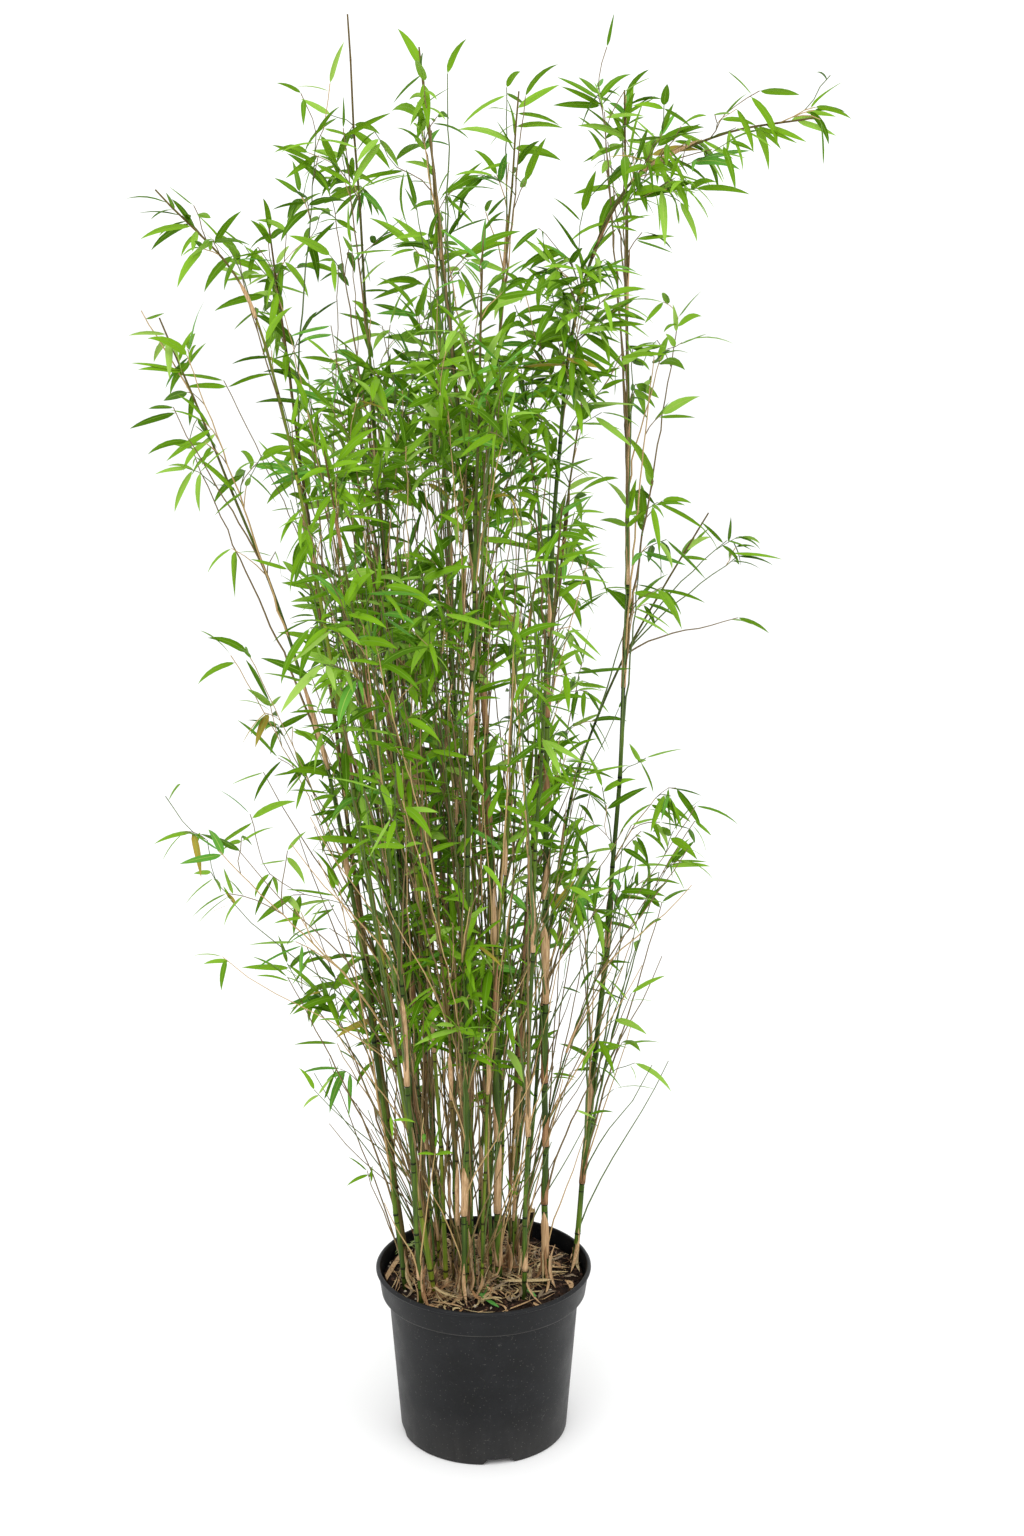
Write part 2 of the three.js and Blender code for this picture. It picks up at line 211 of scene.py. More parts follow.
# dust gathers low on the wall, in upright streaks
height = node(tree, "SeparateXYZ", {"Vector": place})
low_dust = node(tree, "MapRange", {
    "Value": height.outputs["Z"], "From Min": 75 * MM, "From Max": 0.0, "To Min": 0.0, "To Max": 0.42})
dust_patch = node(tree, "Math", {0: low_dust, 1: streak}, operation="MULTIPLY")
dusty = node(tree, "Mix", {0: dust_patch, 6: base_tone, 7: linear("#4f4d4a")}, data_type="RGBA")
# a painted highlight: a thin pale line along the collar's lower edge, patchy with the cloud; the wall under
# it is left as it is
edge_height = node(tree, "MapRange", {
    "Value": height.outputs["Z"], "From Min": collar_foot - 8 * MM, "From Max": collar_foot + 9 * MM})
painted_edge_highlight = node(tree, "ValToRGB", {"Fac": edge_height},
                 stops=[(0.0, 0.0), (0.42, 0.0), (0.5, 1.0), (0.58, 0.0)])
patchy_edge_highlight = node(tree, "Math", {0: painted_edge_highlight, 1: cloud}, operation="MULTIPLY")
scuffs_and_edge_highlight = node(tree, "Math", {0: scuff, 1: patchy_edge_highlight}, operation="MAXIMUM")
marks_and_edge_highlight = node(tree, "Math", {0: speck_some, 1: scuffs_and_edge_highlight}, operation="MAXIMUM")
faint_marks_and_highlight = node(tree, "Math", {0: marks_and_edge_highlight, 1: 0.22}, operation="MULTIPLY")
# the scuffs, the specks and the painted collar-edge highlight all lighten the plastic towards one pale grey
marked_and_highlit = node(tree, "Mix", {0: faint_marks_and_highlight, 6: dusty.outputs[2], 7: linear("#a9a59c")}, data_type="RGBA")
gloss = node(tree, "MapRange", {
    "Value": cloud, "From Min": 0.3, "From Max": 0.7, "To Min": 0.36, "To Max": 0.55})
grain = node(tree, "TexNoise", {"Vector": place, "Scale": 1 / MOULD_GRAIN, "Detail": 3.0})
bump = node(tree, "Bump", {"Height": grain, "Strength": 0.18, "Distance": 0.6 * MM})
feed(tree, shader, {"Base Color": marked_and_highlit.outputs[2], "Roughness": gloss, "Normal": bump})

pot = piece_from(bm, "nursery_pot", [pot_plastic])
cutters = bmesh.new()
for k in range(NOTCHES):
    block = bmesh.ops.create_cube(cutters, size=1.0)["verts"]
    bmesh.ops.scale(cutters, verts=block, vec=(NOTCH_WIDTH + 2 * NOTCH_TAPER, 60 * MM, NOTCH_HEIGHT * 2))
    upper = [v for v in block if v.co.z > 0]
    narrowed = (NOTCH_WIDTH - 2 * NOTCH_TAPER) / (NOTCH_WIDTH + 2 * NOTCH_TAPER)
    bmesh.ops.scale(cutters, verts=upper, vec=(narrowed, 1, 1))
    bmesh.ops.translate(cutters, verts=block, vec=(0, -(base_radius - 20 * MM), 0))
    turn = math.radians(NOTCH_TURN + 360 / NOTCHES * k)
    bmesh.ops.rotate(cutters, verts=block, matrix=Matrix.Rotation(turn, 3, "Z"))
cutter = into_scene(mesh_from(cutters, "notch_cutters"), "notch_cutters")
cut = pot.modifiers.new("notches", "BOOLEAN")
cut.operation, cut.object, cut.solver = "DIFFERENCE", cutter, "EXACT"
bpy.context.view_layer.update()
notched = bpy.data.meshes.new_from_object(pot.evaluated_get(bpy.context.evaluated_depsgraph_get()))
pot.modifiers.clear()
pot.data = notched
notched.set_sharp_from_angle(angle=math.radians(SHARP_ANGLE))
bpy.data.objects.remove(cutter)
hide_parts("pot")


# ---- The compost ----
# Peaty potting compost filling the pot to just under its rim: a dark crumbly surface,
# a little higher round the stems, with loose crumbs and bits of bark lying on it.

def drawn(seed):
    """A seeded source of chance, one for each section, so that a change in one leaves the others."""
    return np.random.default_rng(seed)


def piece_of_arrays(name, points, quads, kinds, materials):
    """One object from arrays: points, four-sided faces and each face's material. It rides with the plant."""
    mesh = bpy.data.meshes.new(name)
    mesh.vertices.add(len(points))
    mesh.vertices.foreach_set("co", np.asarray(points, np.float32).ravel())
    mesh.loops.add(quads.size)
    mesh.loops.foreach_set("vertex_index", quads.astype(np.int32).ravel())
    mesh.polygons.add(len(quads))
    mesh.polygons.foreach_set("loop_start", np.arange(0, quads.size, 4, dtype=np.int32))
    for material in materials:
        mesh.materials.append(material)
    mesh.polygons.foreach_set("material_index", np.asarray(kinds, np.int32))
    mesh.polygons.foreach_set("use_smooth", [True] * len(quads))
    mesh.update(calc_edges=True)
    made = into_scene(mesh, name)
    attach(made, "root")
    return made


_, soil_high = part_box("soil")
soil_top = soil_high.z
soil_radius = soil_high.x
CLUMP = Vector((-12 * MM, 2 * MM, 0))
SOIL_RINGS, SOIL_STEPS = 62, 190
SOIL_FOOT = 10 * MM
PEAT_LUMP, PEAT_FIBRE = 6.2 * MM, 1.9 * MM
CRUMBS = 1500


def compost_height(x, y):
    """The compost's height: mounded round the clump, uneven in lumps and crumbs."""
    out = math.hypot(x, y) / soil_radius
    mound = 3.5 * MM * math.exp(-((math.hypot(x - CLUMP.x, y) / (80 * MM)) ** 2))
    lumps = 3.2 * MM * noise.noise(Vector((x, y, 0.3)) / (26 * MM))
    crumbs = 1.7 * MM * noise.noise(Vector((x, y, 1.7)) / (7 * MM))
    return soil_top - 2.5 * MM + mound + lumps + crumbs - 5 * MM * max(0.0, out - 0.9) / 0.1


profile = [(0.0, SOIL_FOOT), (base_radius - wall - 1 * MM, SOIL_FOOT),
           (body_top - wall - 1 * MM, collar_foot), (soil_radius - 0.4 * MM, collar_foot + wall + 1 * MM)]
profile += [((soil_radius - 0.4 * MM) * (1 - i / SOIL_RINGS), soil_top) for i in range(SOIL_RINGS + 1)]
bm = spun(profile, SOIL_STEPS)
for v in bm.verts:
    if v.co.z > soil_top - MERGE:
        v.co.z = compost_height(v.co.x, v.co.y)

# Damp peat and composted bark: near black with brown fibres, and no gloss at all.
peat, tree, shader = finish_of("peat compost", {"Roughness": 0.95, "Specular IOR Level": 0.2})
place = node(tree, "TexCoord").outputs["Object"]
coarse = node(tree, "TexNoise", {"Vector": place, "Scale": 1 / PEAT_LUMP, "Detail": 8.0, "Roughness": 0.7})
tone = node(tree, "ValToRGB", {"Fac": coarse},
            stops=[(0.3, "#0d0806"), (0.5, "#20140d"), (0.64, "#372417"), (0.78, "#5f4530")])
fibre = node(tree, "TexNoise", {"Vector": place, "Scale": 1 / PEAT_FIBRE, "Detail": 5.0})
bump = node(tree, "Bump", {"Height": fibre, "Strength": 0.7, "Distance": 2 * MM})
feed(tree, shader, {"Base Color": tone, "Normal": bump})
bark_bit, _, _ = finish_of("composted bark", {"Base Color": linear("#4a3020"), "Roughness": 0.9})
pale_bit, _, _ = finish_of("perlite and pale grit", {"Base Color": linear("#b9ad98"), "Roughness": 0.8})

compost = piece_from(bm, "compost", [peat])
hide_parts("soil")

chance = drawn(3)
lump = bmesh.new()
bmesh.ops.create_cube(lump, size=1.0)
bmesh.ops.subdivide_edges(lump, edges=lump.edges[:], cuts=1, use_grid_fill=True, smooth=1.0)
lump.verts.ensure_lookup_table()
lump_points = np.array([v.co[:] for v in lump.verts])
lump_quads = np.array([[v.index for v in f.verts] for f in lump.faces])
lump.free()
reach = soil_radius * 0.985 * np.sqrt(chance.random(CRUMBS))
turn = chance.random(CRUMBS) * math.tau
crumb_points, crumb_quads, crumb_kinds = [], [], []
for k in range(CRUMBS):
    x, y = reach[k] * math.cos(turn[k]), reach[k] * math.sin(turn[k])
    size = chance.uniform(0.8, 3.0) * MM
    stretch = np.array([1.0, chance.uniform(0.4, 1.0), chance.uniform(0.35, 0.8)]) * size
    angles = chance.uniform(0, math.tau, 3)
    spin = np.array(Matrix.Rotation(angles[0], 3, "Z") @ Matrix.Rotation(angles[1] * 0.3, 3, "X"))
    shape = lump_points * (1 + 0.3 * chance.standard_normal((len(lump_points), 1)).clip(-1, 1)) * stretch
    crumb_points.append(shape @ spin.T + (x, y, compost_height(x, y) + size * 0.25))
    crumb_quads.append(lump_quads + k * len(lump_points))
    crumb_kinds.append(np.full(len(lump_quads), chance.choice(3, p=(0.7, 0.27, 0.03))))
crumbs = piece_of_arrays("compost_crumbs", np.concatenate(crumb_points), np.concatenate(crumb_quads),
                         np.concatenate(crumb_kinds), [peat, bark_bit, pale_bit])


# ---- The culms ----
# The stems: hollow jointed canes, round and smooth, each with a raised ring at every joint
# and a pale waxy bloom under it. They stand in the compost, and lean out as they rise.

RING_GAP = 14 * MM      # corners nearer than this are of one ring of the solid
AHEAD = 4 * MM          # how far a heading looks along its line, each way


def culm_line(name):
    """The middle line and the radii of a culm, read from the rings of its solid."""
    mesh = nodes[name].data
    points = np.unique(np.round([v.co[:] for v in mesh.vertices], 6), axis=0)
    points = points[np.argsort(points[:, 2])]
    rings = [[points[0]]]
    for point in points[1:]:
        if np.linalg.norm(point - np.mean(rings[-1], axis=0)) < RING_GAP:
            rings[-1].append(point)
        else:
            rings.append([point])
    middles = np.array([np.mean(ring, axis=0) for ring in rings])
    spans = [np.linalg.norm(np.array(ring) - middle, axis=1).max() for ring, middle in zip(rings, middles)]
    return middles, np.array(spans)


def smooth_line(points, values, spacing):
    """A line through the points on one smooth curve, with a value along it, at even spacing."""
    points = np.vstack([2 * points[0] - points[1], points, 2 * points[-1] - points[-2]])
    made, carried = [], []
    for i in range(1, len(points) - 2):
        p0, p1, p2, p3 = points[i - 1:i + 3]
        count = max(2, int(np.linalg.norm(p2 - p1) / spacing))
        t = np.arange(count)[:, None] / count
        made.append(0.5 * (2 * p1 + (p2 - p0) * t + (2 * p0 - 5 * p1 + 4 * p2 - p3) * t ** 2
                           + (3 * p1 - p0 - 3 * p2 + p3) * t ** 3))
        carried.append(values[i - 1] + (values[i] - values[i - 1]) * t[:, 0])
    return np.vstack([*made, points[-2][None]]), np.append(np.concatenate(carried), values[-1])


def lengths_along(line):
    """How far along a line each of its points lies."""
    return np.append(0, np.cumsum(np.linalg.norm(np.diff(line, axis=0), axis=1)))


def at_length(line, along, distance):
    """The place and the heading on a line at a distance along it."""
    behind, place, ahead = (np.array([np.interp(distance + step, along, line[:, k]) for k in range(3)])
                            for step in (-AHEAD, 0.0, AHEAD))
    heading = ahead - behind
    return place, heading / np.linalg.norm(heading)


def joints_of(length, chance, first=46 * MM, longest=132 * MM):
    """How far up a culm its joints lie: close together at the foot, long in the middle, short at the tip.

    The first joint is about as high as first, and no gap is much longer than longest.
    """
    found, here = [], first * chance.uniform(0.6, 1.2)
    while here < length - 25 * MM:
        found.append(here)
        share = here / length
        swell = min(1.0, 0.52 + 2.4 * share) * (1.0 - 0.5 * share ** 3)
        here += longest * swell * chance.uniform(0.8, 1.15)
    return found


def across(heading):
    """Two directions square to a heading and to each other."""
    side = np.cross((0, 1, 0), heading)
    side /= np.linalg.norm(side)
    return side, np.cross(heading, side)


def ring_matrix(place, heading, radius):
    """Where a unit circle goes to lie across a heading."""
    side, back = across(heading)
    return Matrix([[side[k] * radius, back[k] * radius, heading[k] * radius, place[k]] for k in range(3)]
                  + [[0, 0, 0, 1]])


# Offsets from a joint, and how thick the culm is there: the scar's rim, then the ridge over it.
JOINT_RELIEF = [(-7 * MM, 1.0), (-2.2 * MM, 1.0), (-0.9 * MM, 1.1), (0.0 * MM, 1.15), (0.7 * MM, 1.03),
                (1.6 * MM, 1.04), (2.6 * MM, 1.1), (4.0 * MM, 1.03), (7 * MM, 0.98)]
FAR_FROM_JOINT = 30 * MM


def jointed_culm(line, radii, joints, sides):
    """A closed jointed cane as a bmesh: a circle drawn out ring by ring along the line."""
    along = lengths_along(line)
    rings = [(0.0, 1.0, FAR_FROM_JOINT)]      # each: how far up, how thick, and how far from its joint
    for i, joint in enumerate(joints):
        top = joints[i + 1] if i + 1 < len(joints) else along[-1]
        rings += [(joint + offset, swell, offset) for offset, swell in JOINT_RELIEF
                  if joint + offset > 1 * MM]
        gap = top - joint
        rings += [(joint + gap * s, 1.0, gap * min(s, 1 - s)) for s in (0.3, 0.5, 0.7)
                  if gap > FAR_FROM_JOINT]
    rings = sorted(r for r in rings if r[0] < along[-1]) + [(along[-1], 0.9, FAR_FROM_JOINT)]
    bm = bmesh.new()
    gaps = bm.verts.layers.float.new("joint_gap")
    rises = bm.verts.layers.float.new("rise")
    ring = bmesh.ops.create_circle(bm, cap_ends=True, radius=1.0, segments=sides)["verts"]
    edges = list({e for v in ring for e in v.link_edges})
    before = Matrix.Identity(4)
    for i, (distance, swell, gap) in enumerate(rings):
        place, heading = at_length(line, along, distance)
        here = ring_matrix(place, heading, np.interp(distance, along, radii) * swell)
        if i:
            drawn_out = bmesh.ops.extrude_edge_only(bm, edges=edges)["geom"]
            ring = [g for g in drawn_out if isinstance(g, bmesh.types.BMVert)]
            chosen = set(ring)
            edges = [g for g in drawn_out if isinstance(g, bmesh.types.BMEdge) and set(g.verts) <= chosen]
        bmesh.ops.transform(bm, matrix=here @ before.inverted(), verts=ring)
        for v in ring:
            v[gaps] = gap
            v[rises] = distance / along[-1]
        before = here
    bmesh.ops.contextual_create(bm, geom=edges)
    bmesh.ops.recalc_face_normals(bm, faces=bm.faces[:])
    return bm


SKIN_STREAK, SKIN_RUN, SKIN_PATCH = 2.4 * MM, 62 * MM, 110 * MM


def culm_finish(name, low, middle, high, ring):
    """Living cane: a smooth waxy skin, streaked lengthwise, dark at the joints, brown towards its tip."""
    material, tree, shader = finish_of(name, {"Roughness": 0.48, "IOR": 1.45, "Specular IOR Level": 0.13})
    place = node(tree, "TexCoord").outputs["Object"]
    drawn_out = node(tree, "Mapping", {
        "Vector": place, "Scale": (1 / SKIN_STREAK, 1 / SKIN_STREAK, 1 / SKIN_RUN)})
    streaks = node(tree, "TexNoise", {"Vector": drawn_out, "Scale": 1.0, "Detail": 4.0})
    patches = node(tree, "TexNoise", {"Vector": place, "Scale": 1 / SKIN_PATCH, "Detail": 3.0})
    both = node(tree, "Mix", {0: 0.45, 2: patches, 3: streaks}, data_type="FLOAT")
    skin = node(tree, "ValToRGB", {"Fac": both}, stops=[(0.36, low), (0.5, middle), (0.64, high)])
    # the waxy bloom lies under each joint, and the dark band on it
    gap = node(tree, "Attribute", attribute_name="joint_gap").outputs["Fac"]
    bloom, band, over = (node(tree, "MapRange", {
        "Value": gap, "From Min": start, "From Max": end, "To Min": low_share, "To Max": high_share})
        for start, end, low_share, high_share in ((-8 * MM, -2.2 * MM, 0.0, 0.06),
                                                  (-1.6 * MM, -0.5 * MM, 0.0, 1.0),
                                                  (0.6 * MM, 3.4 * MM, 1.0, 0.0)))
    ring_only = node(tree, "Math", {0: band.outputs[0], 1: over.outputs[0]}, operation="MULTIPLY")
    rise = node(tree, "Attribute", attribute_name="rise").outputs["Fac"]
    tip = node(tree, "MapRange", {
        "Value": rise, "From Min": 0.72, "From Max": 0.95, "To Min": 0.0, "To Max": 0.85})
    tone = skin.outputs[0]
    for share, colour in ((bloom, "#8f9b6c"), (ring_only, ring), (tip, "#5d4a28")):
        tone = node(tree, "Mix", {0: share.outputs[0], 6: tone, 7: linear(colour)},
                    data_type="RGBA").outputs[2]
    feed(tree, shader, {"Base Color": tone})
    return material


green_culm = culm_finish("green culm", "#1e2e0a", "#344c0e", "#5a7419", "#10140a")
olive_culm = culm_finish("yellow-green culm", "#3a5209", "#5b7013", "#8a8a2a", "#241d0c")
brown_culm = culm_finish("red-brown culm", "#3a2f12", "#54431d", "#6e5d26", "#1e160b")
tan_culm = culm_finish("dry tan culm", "#735632", "#937044", "#b08c5c", "#3a2816")

# The main culms that aren't green.
LOOKS = {
    "culm_red_brown": brown_culm, "culm_arch_left": olive_culm, "culm_back_tall": olive_culm,
    "culm_inner_front": olive_culm, "culm_inner_middle": tan_culm,
}
MAIN_SIDES, THIN_SIDES = 12, 8
MAIN_STEP, THIN_STEP = 12 * MM, 14 * MM
PLANTED = 8 * MM        # how deep the culms stand in the compost
STRAIGHT_FOOT = 0.1     # a culm's bends fade out over this length at its foot
SLENDER = 0.87      # the cane against its solid, which also holds its sheaths


def bend_at_joints(line, along, joints, least, most, chance):
    """Bends a line sideways at each joint, one way and then the other, and returns how far."""
    bends = np.array([(-1) ** k * chance.uniform(least, most) * MM for k in range(len(joints))])
    line[:, 0] += np.interp(along, joints, bends) * np.minimum(1, along / STRAIGHT_FOOT)
    return bends


chance = drawn(7)
culms = []     # each: its name, line, lengths along it, radii and joints
for name in sorted(n for n in nodes if n.startswith("culm") and not n.endswith("_top")):
    middles, spans = culm_line(name)
    parts = [name]
    if name + "_top" in nodes:
        upper, upper_spans = culm_line(name + "_top")
        middles, spans = np.vstack([middles, upper[1:]]), np.append(spans, upper_spans[1:])
        parts.append(name + "_top")
    if "inner" in name:
        # an inner culm runs on up through the foliage that hides it
        heading = (middles[-1] - middles[0]) / np.linalg.norm(middles[-1] - middles[0])
        out = np.array([middles[-1][0] - CLUMP.x, middles[-1][1], 0.0])
        middles = np.vstack([middles[:-1], middles[-2] + heading * 0.3 + out * 0.2,
                             middles[-2] + heading * 0.65 + out * 0.9])
        spans = np.append(spans[:-1], [spans[-2] * 0.7, spans[-2] * 0.3])
    middles[0][2] -= PLANTED
    line, radii = smooth_line(middles, spans * SLENDER, MAIN_STEP)
    along = lengths_along(line)
    joints = joints_of(along[-1], chance)
    bends = bend_at_joints(line, along, joints, 0.4, 1.3, chance)
    line[:, 1] += np.interp(along, joints, bends[::-1]) * np.minimum(1, along / STRAIGHT_FOOT)
    stem = piece_from(jointed_culm(line, radii, joints, MAIN_SIDES), name.replace("culm", "stem"),
                      [LOOKS.get(name, green_culm)])
    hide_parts(*parts)
    culms.append({"name": name, "line": line, "along": along, "radii": radii, "joints": joints})

# Thinner culms of the same clump fill its middle: they rise among the others into the foliage.
THIN_LOOKS = [green_culm, olive_culm, brown_culm, tan_culm]
THIN_CULMS = 31
chance = drawn(12)
for k in range(THIN_CULMS):
    turn, share = chance.uniform(0, math.tau), math.sqrt(chance.random())
    foot = np.array([CLUMP.x - 9 * MM + 68 * MM * share * math.cos(turn), 74 * MM * share * math.sin(turn)])
    height = chance.uniform(0.5, 1.1)
    lean = foot - (CLUMP.x, 0) + chance.normal(0, 24 * MM, 2)
    low_z = compost_height(*foot) - 6 * MM
    middles = np.array([[*(foot + lean * (0.12 * s + 1.15 * s ** 1.7)), low_z + height * s]
                        for s in (0, 0.25, 0.5, 0.75, 1)])
    thick = chance.choice([chance.uniform(0.9, 1.6), chance.uniform(1.6, 2.4)], p=(0.6, 0.4)) * MM
    line, radii = smooth_line(middles, thick * np.array([1.1, 1, 0.85, 0.65, 0.35]), THIN_STEP)
    along = lengths_along(line)
    joints = joints_of(along[-1], chance, longest=105 * MM)
    bend_at_joints(line, along, joints, 0.6, 1.8, chance)
    culms.append({"name": f"thin_{k}", "line": line, "along": along, "radii": radii, "joints": joints})
    look = chance.choice(4, p=(0.42, 0.36, 0.11, 0.11))
    stem = piece_from(jointed_culm(line, radii, joints, THIN_SIDES), f"thin_stem_{k + 1:02d}",
                      [THIN_LOOKS[look]])


# ---- The sheaths ----
# Dry culm sheaths: tan papery husks that clasp the cane over a joint, narrow to a point above it
# and stand a little away there. Old ones have split, faded and begun to fall.

SHEATH_ROWS, SHEATH_COLUMNS = 9, 9
SHORTEST_GAP = 26 * MM      # joints closer than this carry no husk
WELL_SHEATHED = ("culm_sheathed", "culm_arch_right", "culm_right_outer")
HUSK_THICKNESS = 0.3 * MM


def sheath(culm, joint, length, facing, flare):
    """A grid of points wrapped round a culm from a joint upward, narrowing to its tip."""
    rows = []
    for s in np.linspace(0, 1, SHEATH_ROWS):
        place, heading = at_length(culm["line"], culm["along"], joint + 0.4 * MM + length * s)
        side, back = across(heading)
        half = math.pi * 0.97 * (1 - s ** 1.5) + 0.1
        radius = np.interp(joint + length * s, culm["along"], culm["radii"]) * 1.06 + 0.3 * MM
        sideways = np.linspace(-1, 1, SHEATH_COLUMNS)
        turns = (facing + sideways * half)[:, None]
        out = (radius + flare * s ** 2.5 + 0.35 * MM * np.abs(sideways) * s)[:, None]
        rows.append(place + np.cos(turns) * side * out + np.sin(turns) * back * out)
    return np.concatenate(rows)


def grid_quads(rows, columns):
    """The faces of a grid of points that is listed row by row."""
    k = np.arange((rows - 1) * columns).reshape(rows - 1, columns)[:, :-1].ravel()
    return np.stack([k, k + 1, k + columns + 1, k + columns], axis=1)


FIBRE_WIDTH, FIBRE_LENGTH = 1.1 * MM, 38 * MM      # coarser than life, so that the fibres show


def husk_finish(name, low, middle, high):
    """Bleached bamboo husk: dry fibre drawn along its length, matt outside, pinkish tan to straw."""
    material, tree, shader = finish_of(name, {"Roughness": 0.68, "Specular IOR Level": 0.3})
    place = node(tree, "TexCoord").outputs["Object"]
    drawn_out = node(tree, "Mapping", {
        "Vector": place, "Scale": (1 / FIBRE_WIDTH, 1 / FIBRE_WIDTH, 1 / FIBRE_LENGTH)})
    fibres = node(tree, "TexNoise", {"Vector": drawn_out, "Scale": 1.0, "Detail": 3.0})
    tone = node(tree, "ValToRGB", {"Fac": fibres}, stops=[(0.34, low), (0.5, middle), (0.66, high)])
    bump = node(tree, "Bump", {"Height": fibres, "Strength": 0.4, "Distance": 0.5 * MM})
    feed(tree, shader, {"Base Color": tone, "Normal": bump})
    return material


husk_pale = husk_finish("pale dry husk", "#94744f", "#b39068", "#cbad85")
husk_brown = husk_finish("brown dry husk", "#6b4c31", "#8a6642", "#a68058")

chance = drawn(21)
points, kinds = [], []
for culm in culms:
    for joint, upper in zip(culm["joints"], culm["joints"][1:]):
        gap = upper - joint
        keep = 0.75 if culm["name"] in WELL_SHEATHED else 0.32
        keep *= 1.0 if culm["line"][-1][2] * joint / culm["along"][-1] < 1.1 else 0.5
        if gap < SHORTEST_GAP or chance.random() > (0.3 if culm["name"].startswith("thin") else keep):
            continue
        length = gap * chance.uniform(0.45, 0.98)
        flare = chance.choice([0.3, 1.4, 4.0], p=(0.62, 0.3, 0.08)) * MM
        points.append(sheath(culm, joint, length, chance.uniform(0, math.tau), flare))
        kinds.append(chance.choice(2, p=(0.62, 0.38)))
count = SHEATH_ROWS * SHEATH_COLUMNS
quads = grid_quads(SHEATH_ROWS, SHEATH_COLUMNS)
sheaths = piece_of_arrays("culm_sheaths", np.concatenate(points),
                          np.concatenate([quads + k * count for k in range(len(points))]),
                          np.repeat(kinds, len(quads)), [husk_pale, husk_brown])
paper = sheaths.modifiers.new("husk thickness", "SOLIDIFY")
paper.thickness, paper.offset = HUSK_THICKNESS, 1.0


# ---- The branches and twigs ----
# From the joints of the culms rise slender branches, and from those finer twigs, each to the spray
# of leaves that it carries. They are grown one by one towards places spread through each mass.

# How many sprays of leaves a litre of each mass holds. The first name that fits decides.
SPRAYS_PER_LITRE = {
    "heart_2_c": 18, "heart_3_c": 18, "heart_4_a": 20, "heart_4_b": 40,
    "heart_1": 48, "heart_2": 43, "heart_3": 37, "heart_4": 27,
    "tall_bare": 25, "sheathed": 16, "back_tall": 12, "red_brown": 18, "front_high": 18,
    "arch_right_tip": 26, "arch_right_low": 54, "arch_right": 33, "outer_top": 23, "arch_left": 11,
    "left_low_reach": 13, "left_low": 27, "left_middle": 9, "left_upper": 10,
    "inner_high": 8, "inner_low": 38, "right_low": 23, "right_upper": 14, "right_middle": 15,
    "right_reach": 7, "back_right": 11, "front_right": 7, "back_reach": 9, "back_high": 6, "": 17,
}
SPRAY_SPACING = 13 * MM
SPRAY_LIFT = 12 * MM      # leaves hang, so the twigs end a little over the middle of their leaves
TWIG_TIP = 0.55 * MM
TWIG_SIDES = 4
TRIES = 6000
MAX_GROWTH = 60000
LOWEST_BRANCH = 0.3


def places_in(name, chance):
    """Seeded places spread through a mass of foliage, none too near another."""
    mesh = nodes[name].data
    tree = BVHTree.FromPolygons([v.co[:] for v in mesh.vertices], [p.vertices[:] for p in mesh.polygons])
    low, high = (np.array(c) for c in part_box(name))
    inside = []
    for point in chance.uniform(low, high, (TRIES, 3)):
        near, normal, _, _ = tree.find_nearest(point)
        if (Vector(point) - near).dot(normal) < 0:
            inside.append(point)
    litres = np.prod(high - low) * 1000 * len(inside) / TRIES
    crowding = next(value for key, value in SPRAYS_PER_LITRE.items() if key in name)
    wanted = max(3, round(litres * crowding))
    kept = []
    for point in inside:
        if not kept or np.min(np.linalg.norm(np.array(kept) - point, axis=1)) > SPRAY_SPACING:
            kept.append(point)
        if len(kept) >= wanted:
            break
    blur = (12 * MM, 12 * MM, 28 * MM) if "heart" in name else (9 * MM, 9 * MM, 14 * MM)
    moved = np.array(kept) + chance.normal(0, 1, (len(kept), 3)) * blur + (0, 0, SPRAY_LIFT)
    moved[:, 2] = np.minimum(moved[:, 2], high[2] + 4 * MM)
    return list(moved)


growth_places = np.zeros((MAX_GROWTH, 3))
growth_headings = np.zeros((MAX_GROWTH, 3))
growth_radii = np.zeros(MAX_GROWTH)
growth_woody = np.zeros(MAX_GROWTH, bool)
grown = 0


def add_root(place, heading, radius, woody):
    """Lets later twigs spring from a place."""
    global grown
    growth_places[grown], growth_headings[grown] = place, heading
    growth_radii[grown], growth_woody[grown] = radius, woody
    grown += 1


for culm in culms:
    for joint in culm["joints"]:
        place, heading = at_length(culm["line"], culm["along"], joint + 3 * MM)
        if place[2] >= LOWEST_BRANCH:
            add_root(place, heading, np.interp(joint, culm["along"], culm["radii"]), True)


def unit(vector):
    """A vector's direction."""
    return vector / max(1e-9, np.linalg.norm(vector))


def bent_line(start, end, leaving, arriving, steps):
    """Points on a smooth line that leaves and arrives in given directions."""
    reach = np.linalg.norm(end - start)
    one, two = start + leaving * reach * 0.36, end - arriving * reach * 0.36
    t = np.linspace(0, 1, steps + 1)[:, None]
    return (1 - t) ** 3 * start + 3 * t * (1 - t) ** 2 * one + 3 * t ** 2 * (1 - t) * two + t ** 3 * end


chance = drawn(31)
masses = sorted(n for n in nodes if n.startswith("foliage"))
culm_points = growth_places[:grown].copy()
wanted = sorted(((np.min(np.linalg.norm(culm_points - point, axis=1)), mass, point)
                 for mass in masses for point in places_in(mass, chance)), key=lambda item: item[:2])
twigs = []       # each: mass, line, radii
sprays = []      # each: mass, place, heading


def grow(mass, start, point, leaving, arriving, steps, wobble, thick):
    """Grows a twig with a spray at its end. Later twigs can spring from any point along it."""
    line = bent_line(start, point, leaving, arriving, steps)
    line[1:-1] += chance.normal(0, wobble, (steps - 1, 3))
    radii = np.linspace(thick, TWIG_TIP, steps + 1)
    twigs.append((mass, line, radii))
    headings = np.gradient(line, axis=0)
    for k in range(1, len(line)):
        add_root(line[k], unit(headings[k]), radii[k], False)
    sprays.append((mass, line[-1], unit(line[-1] - line[-2])))


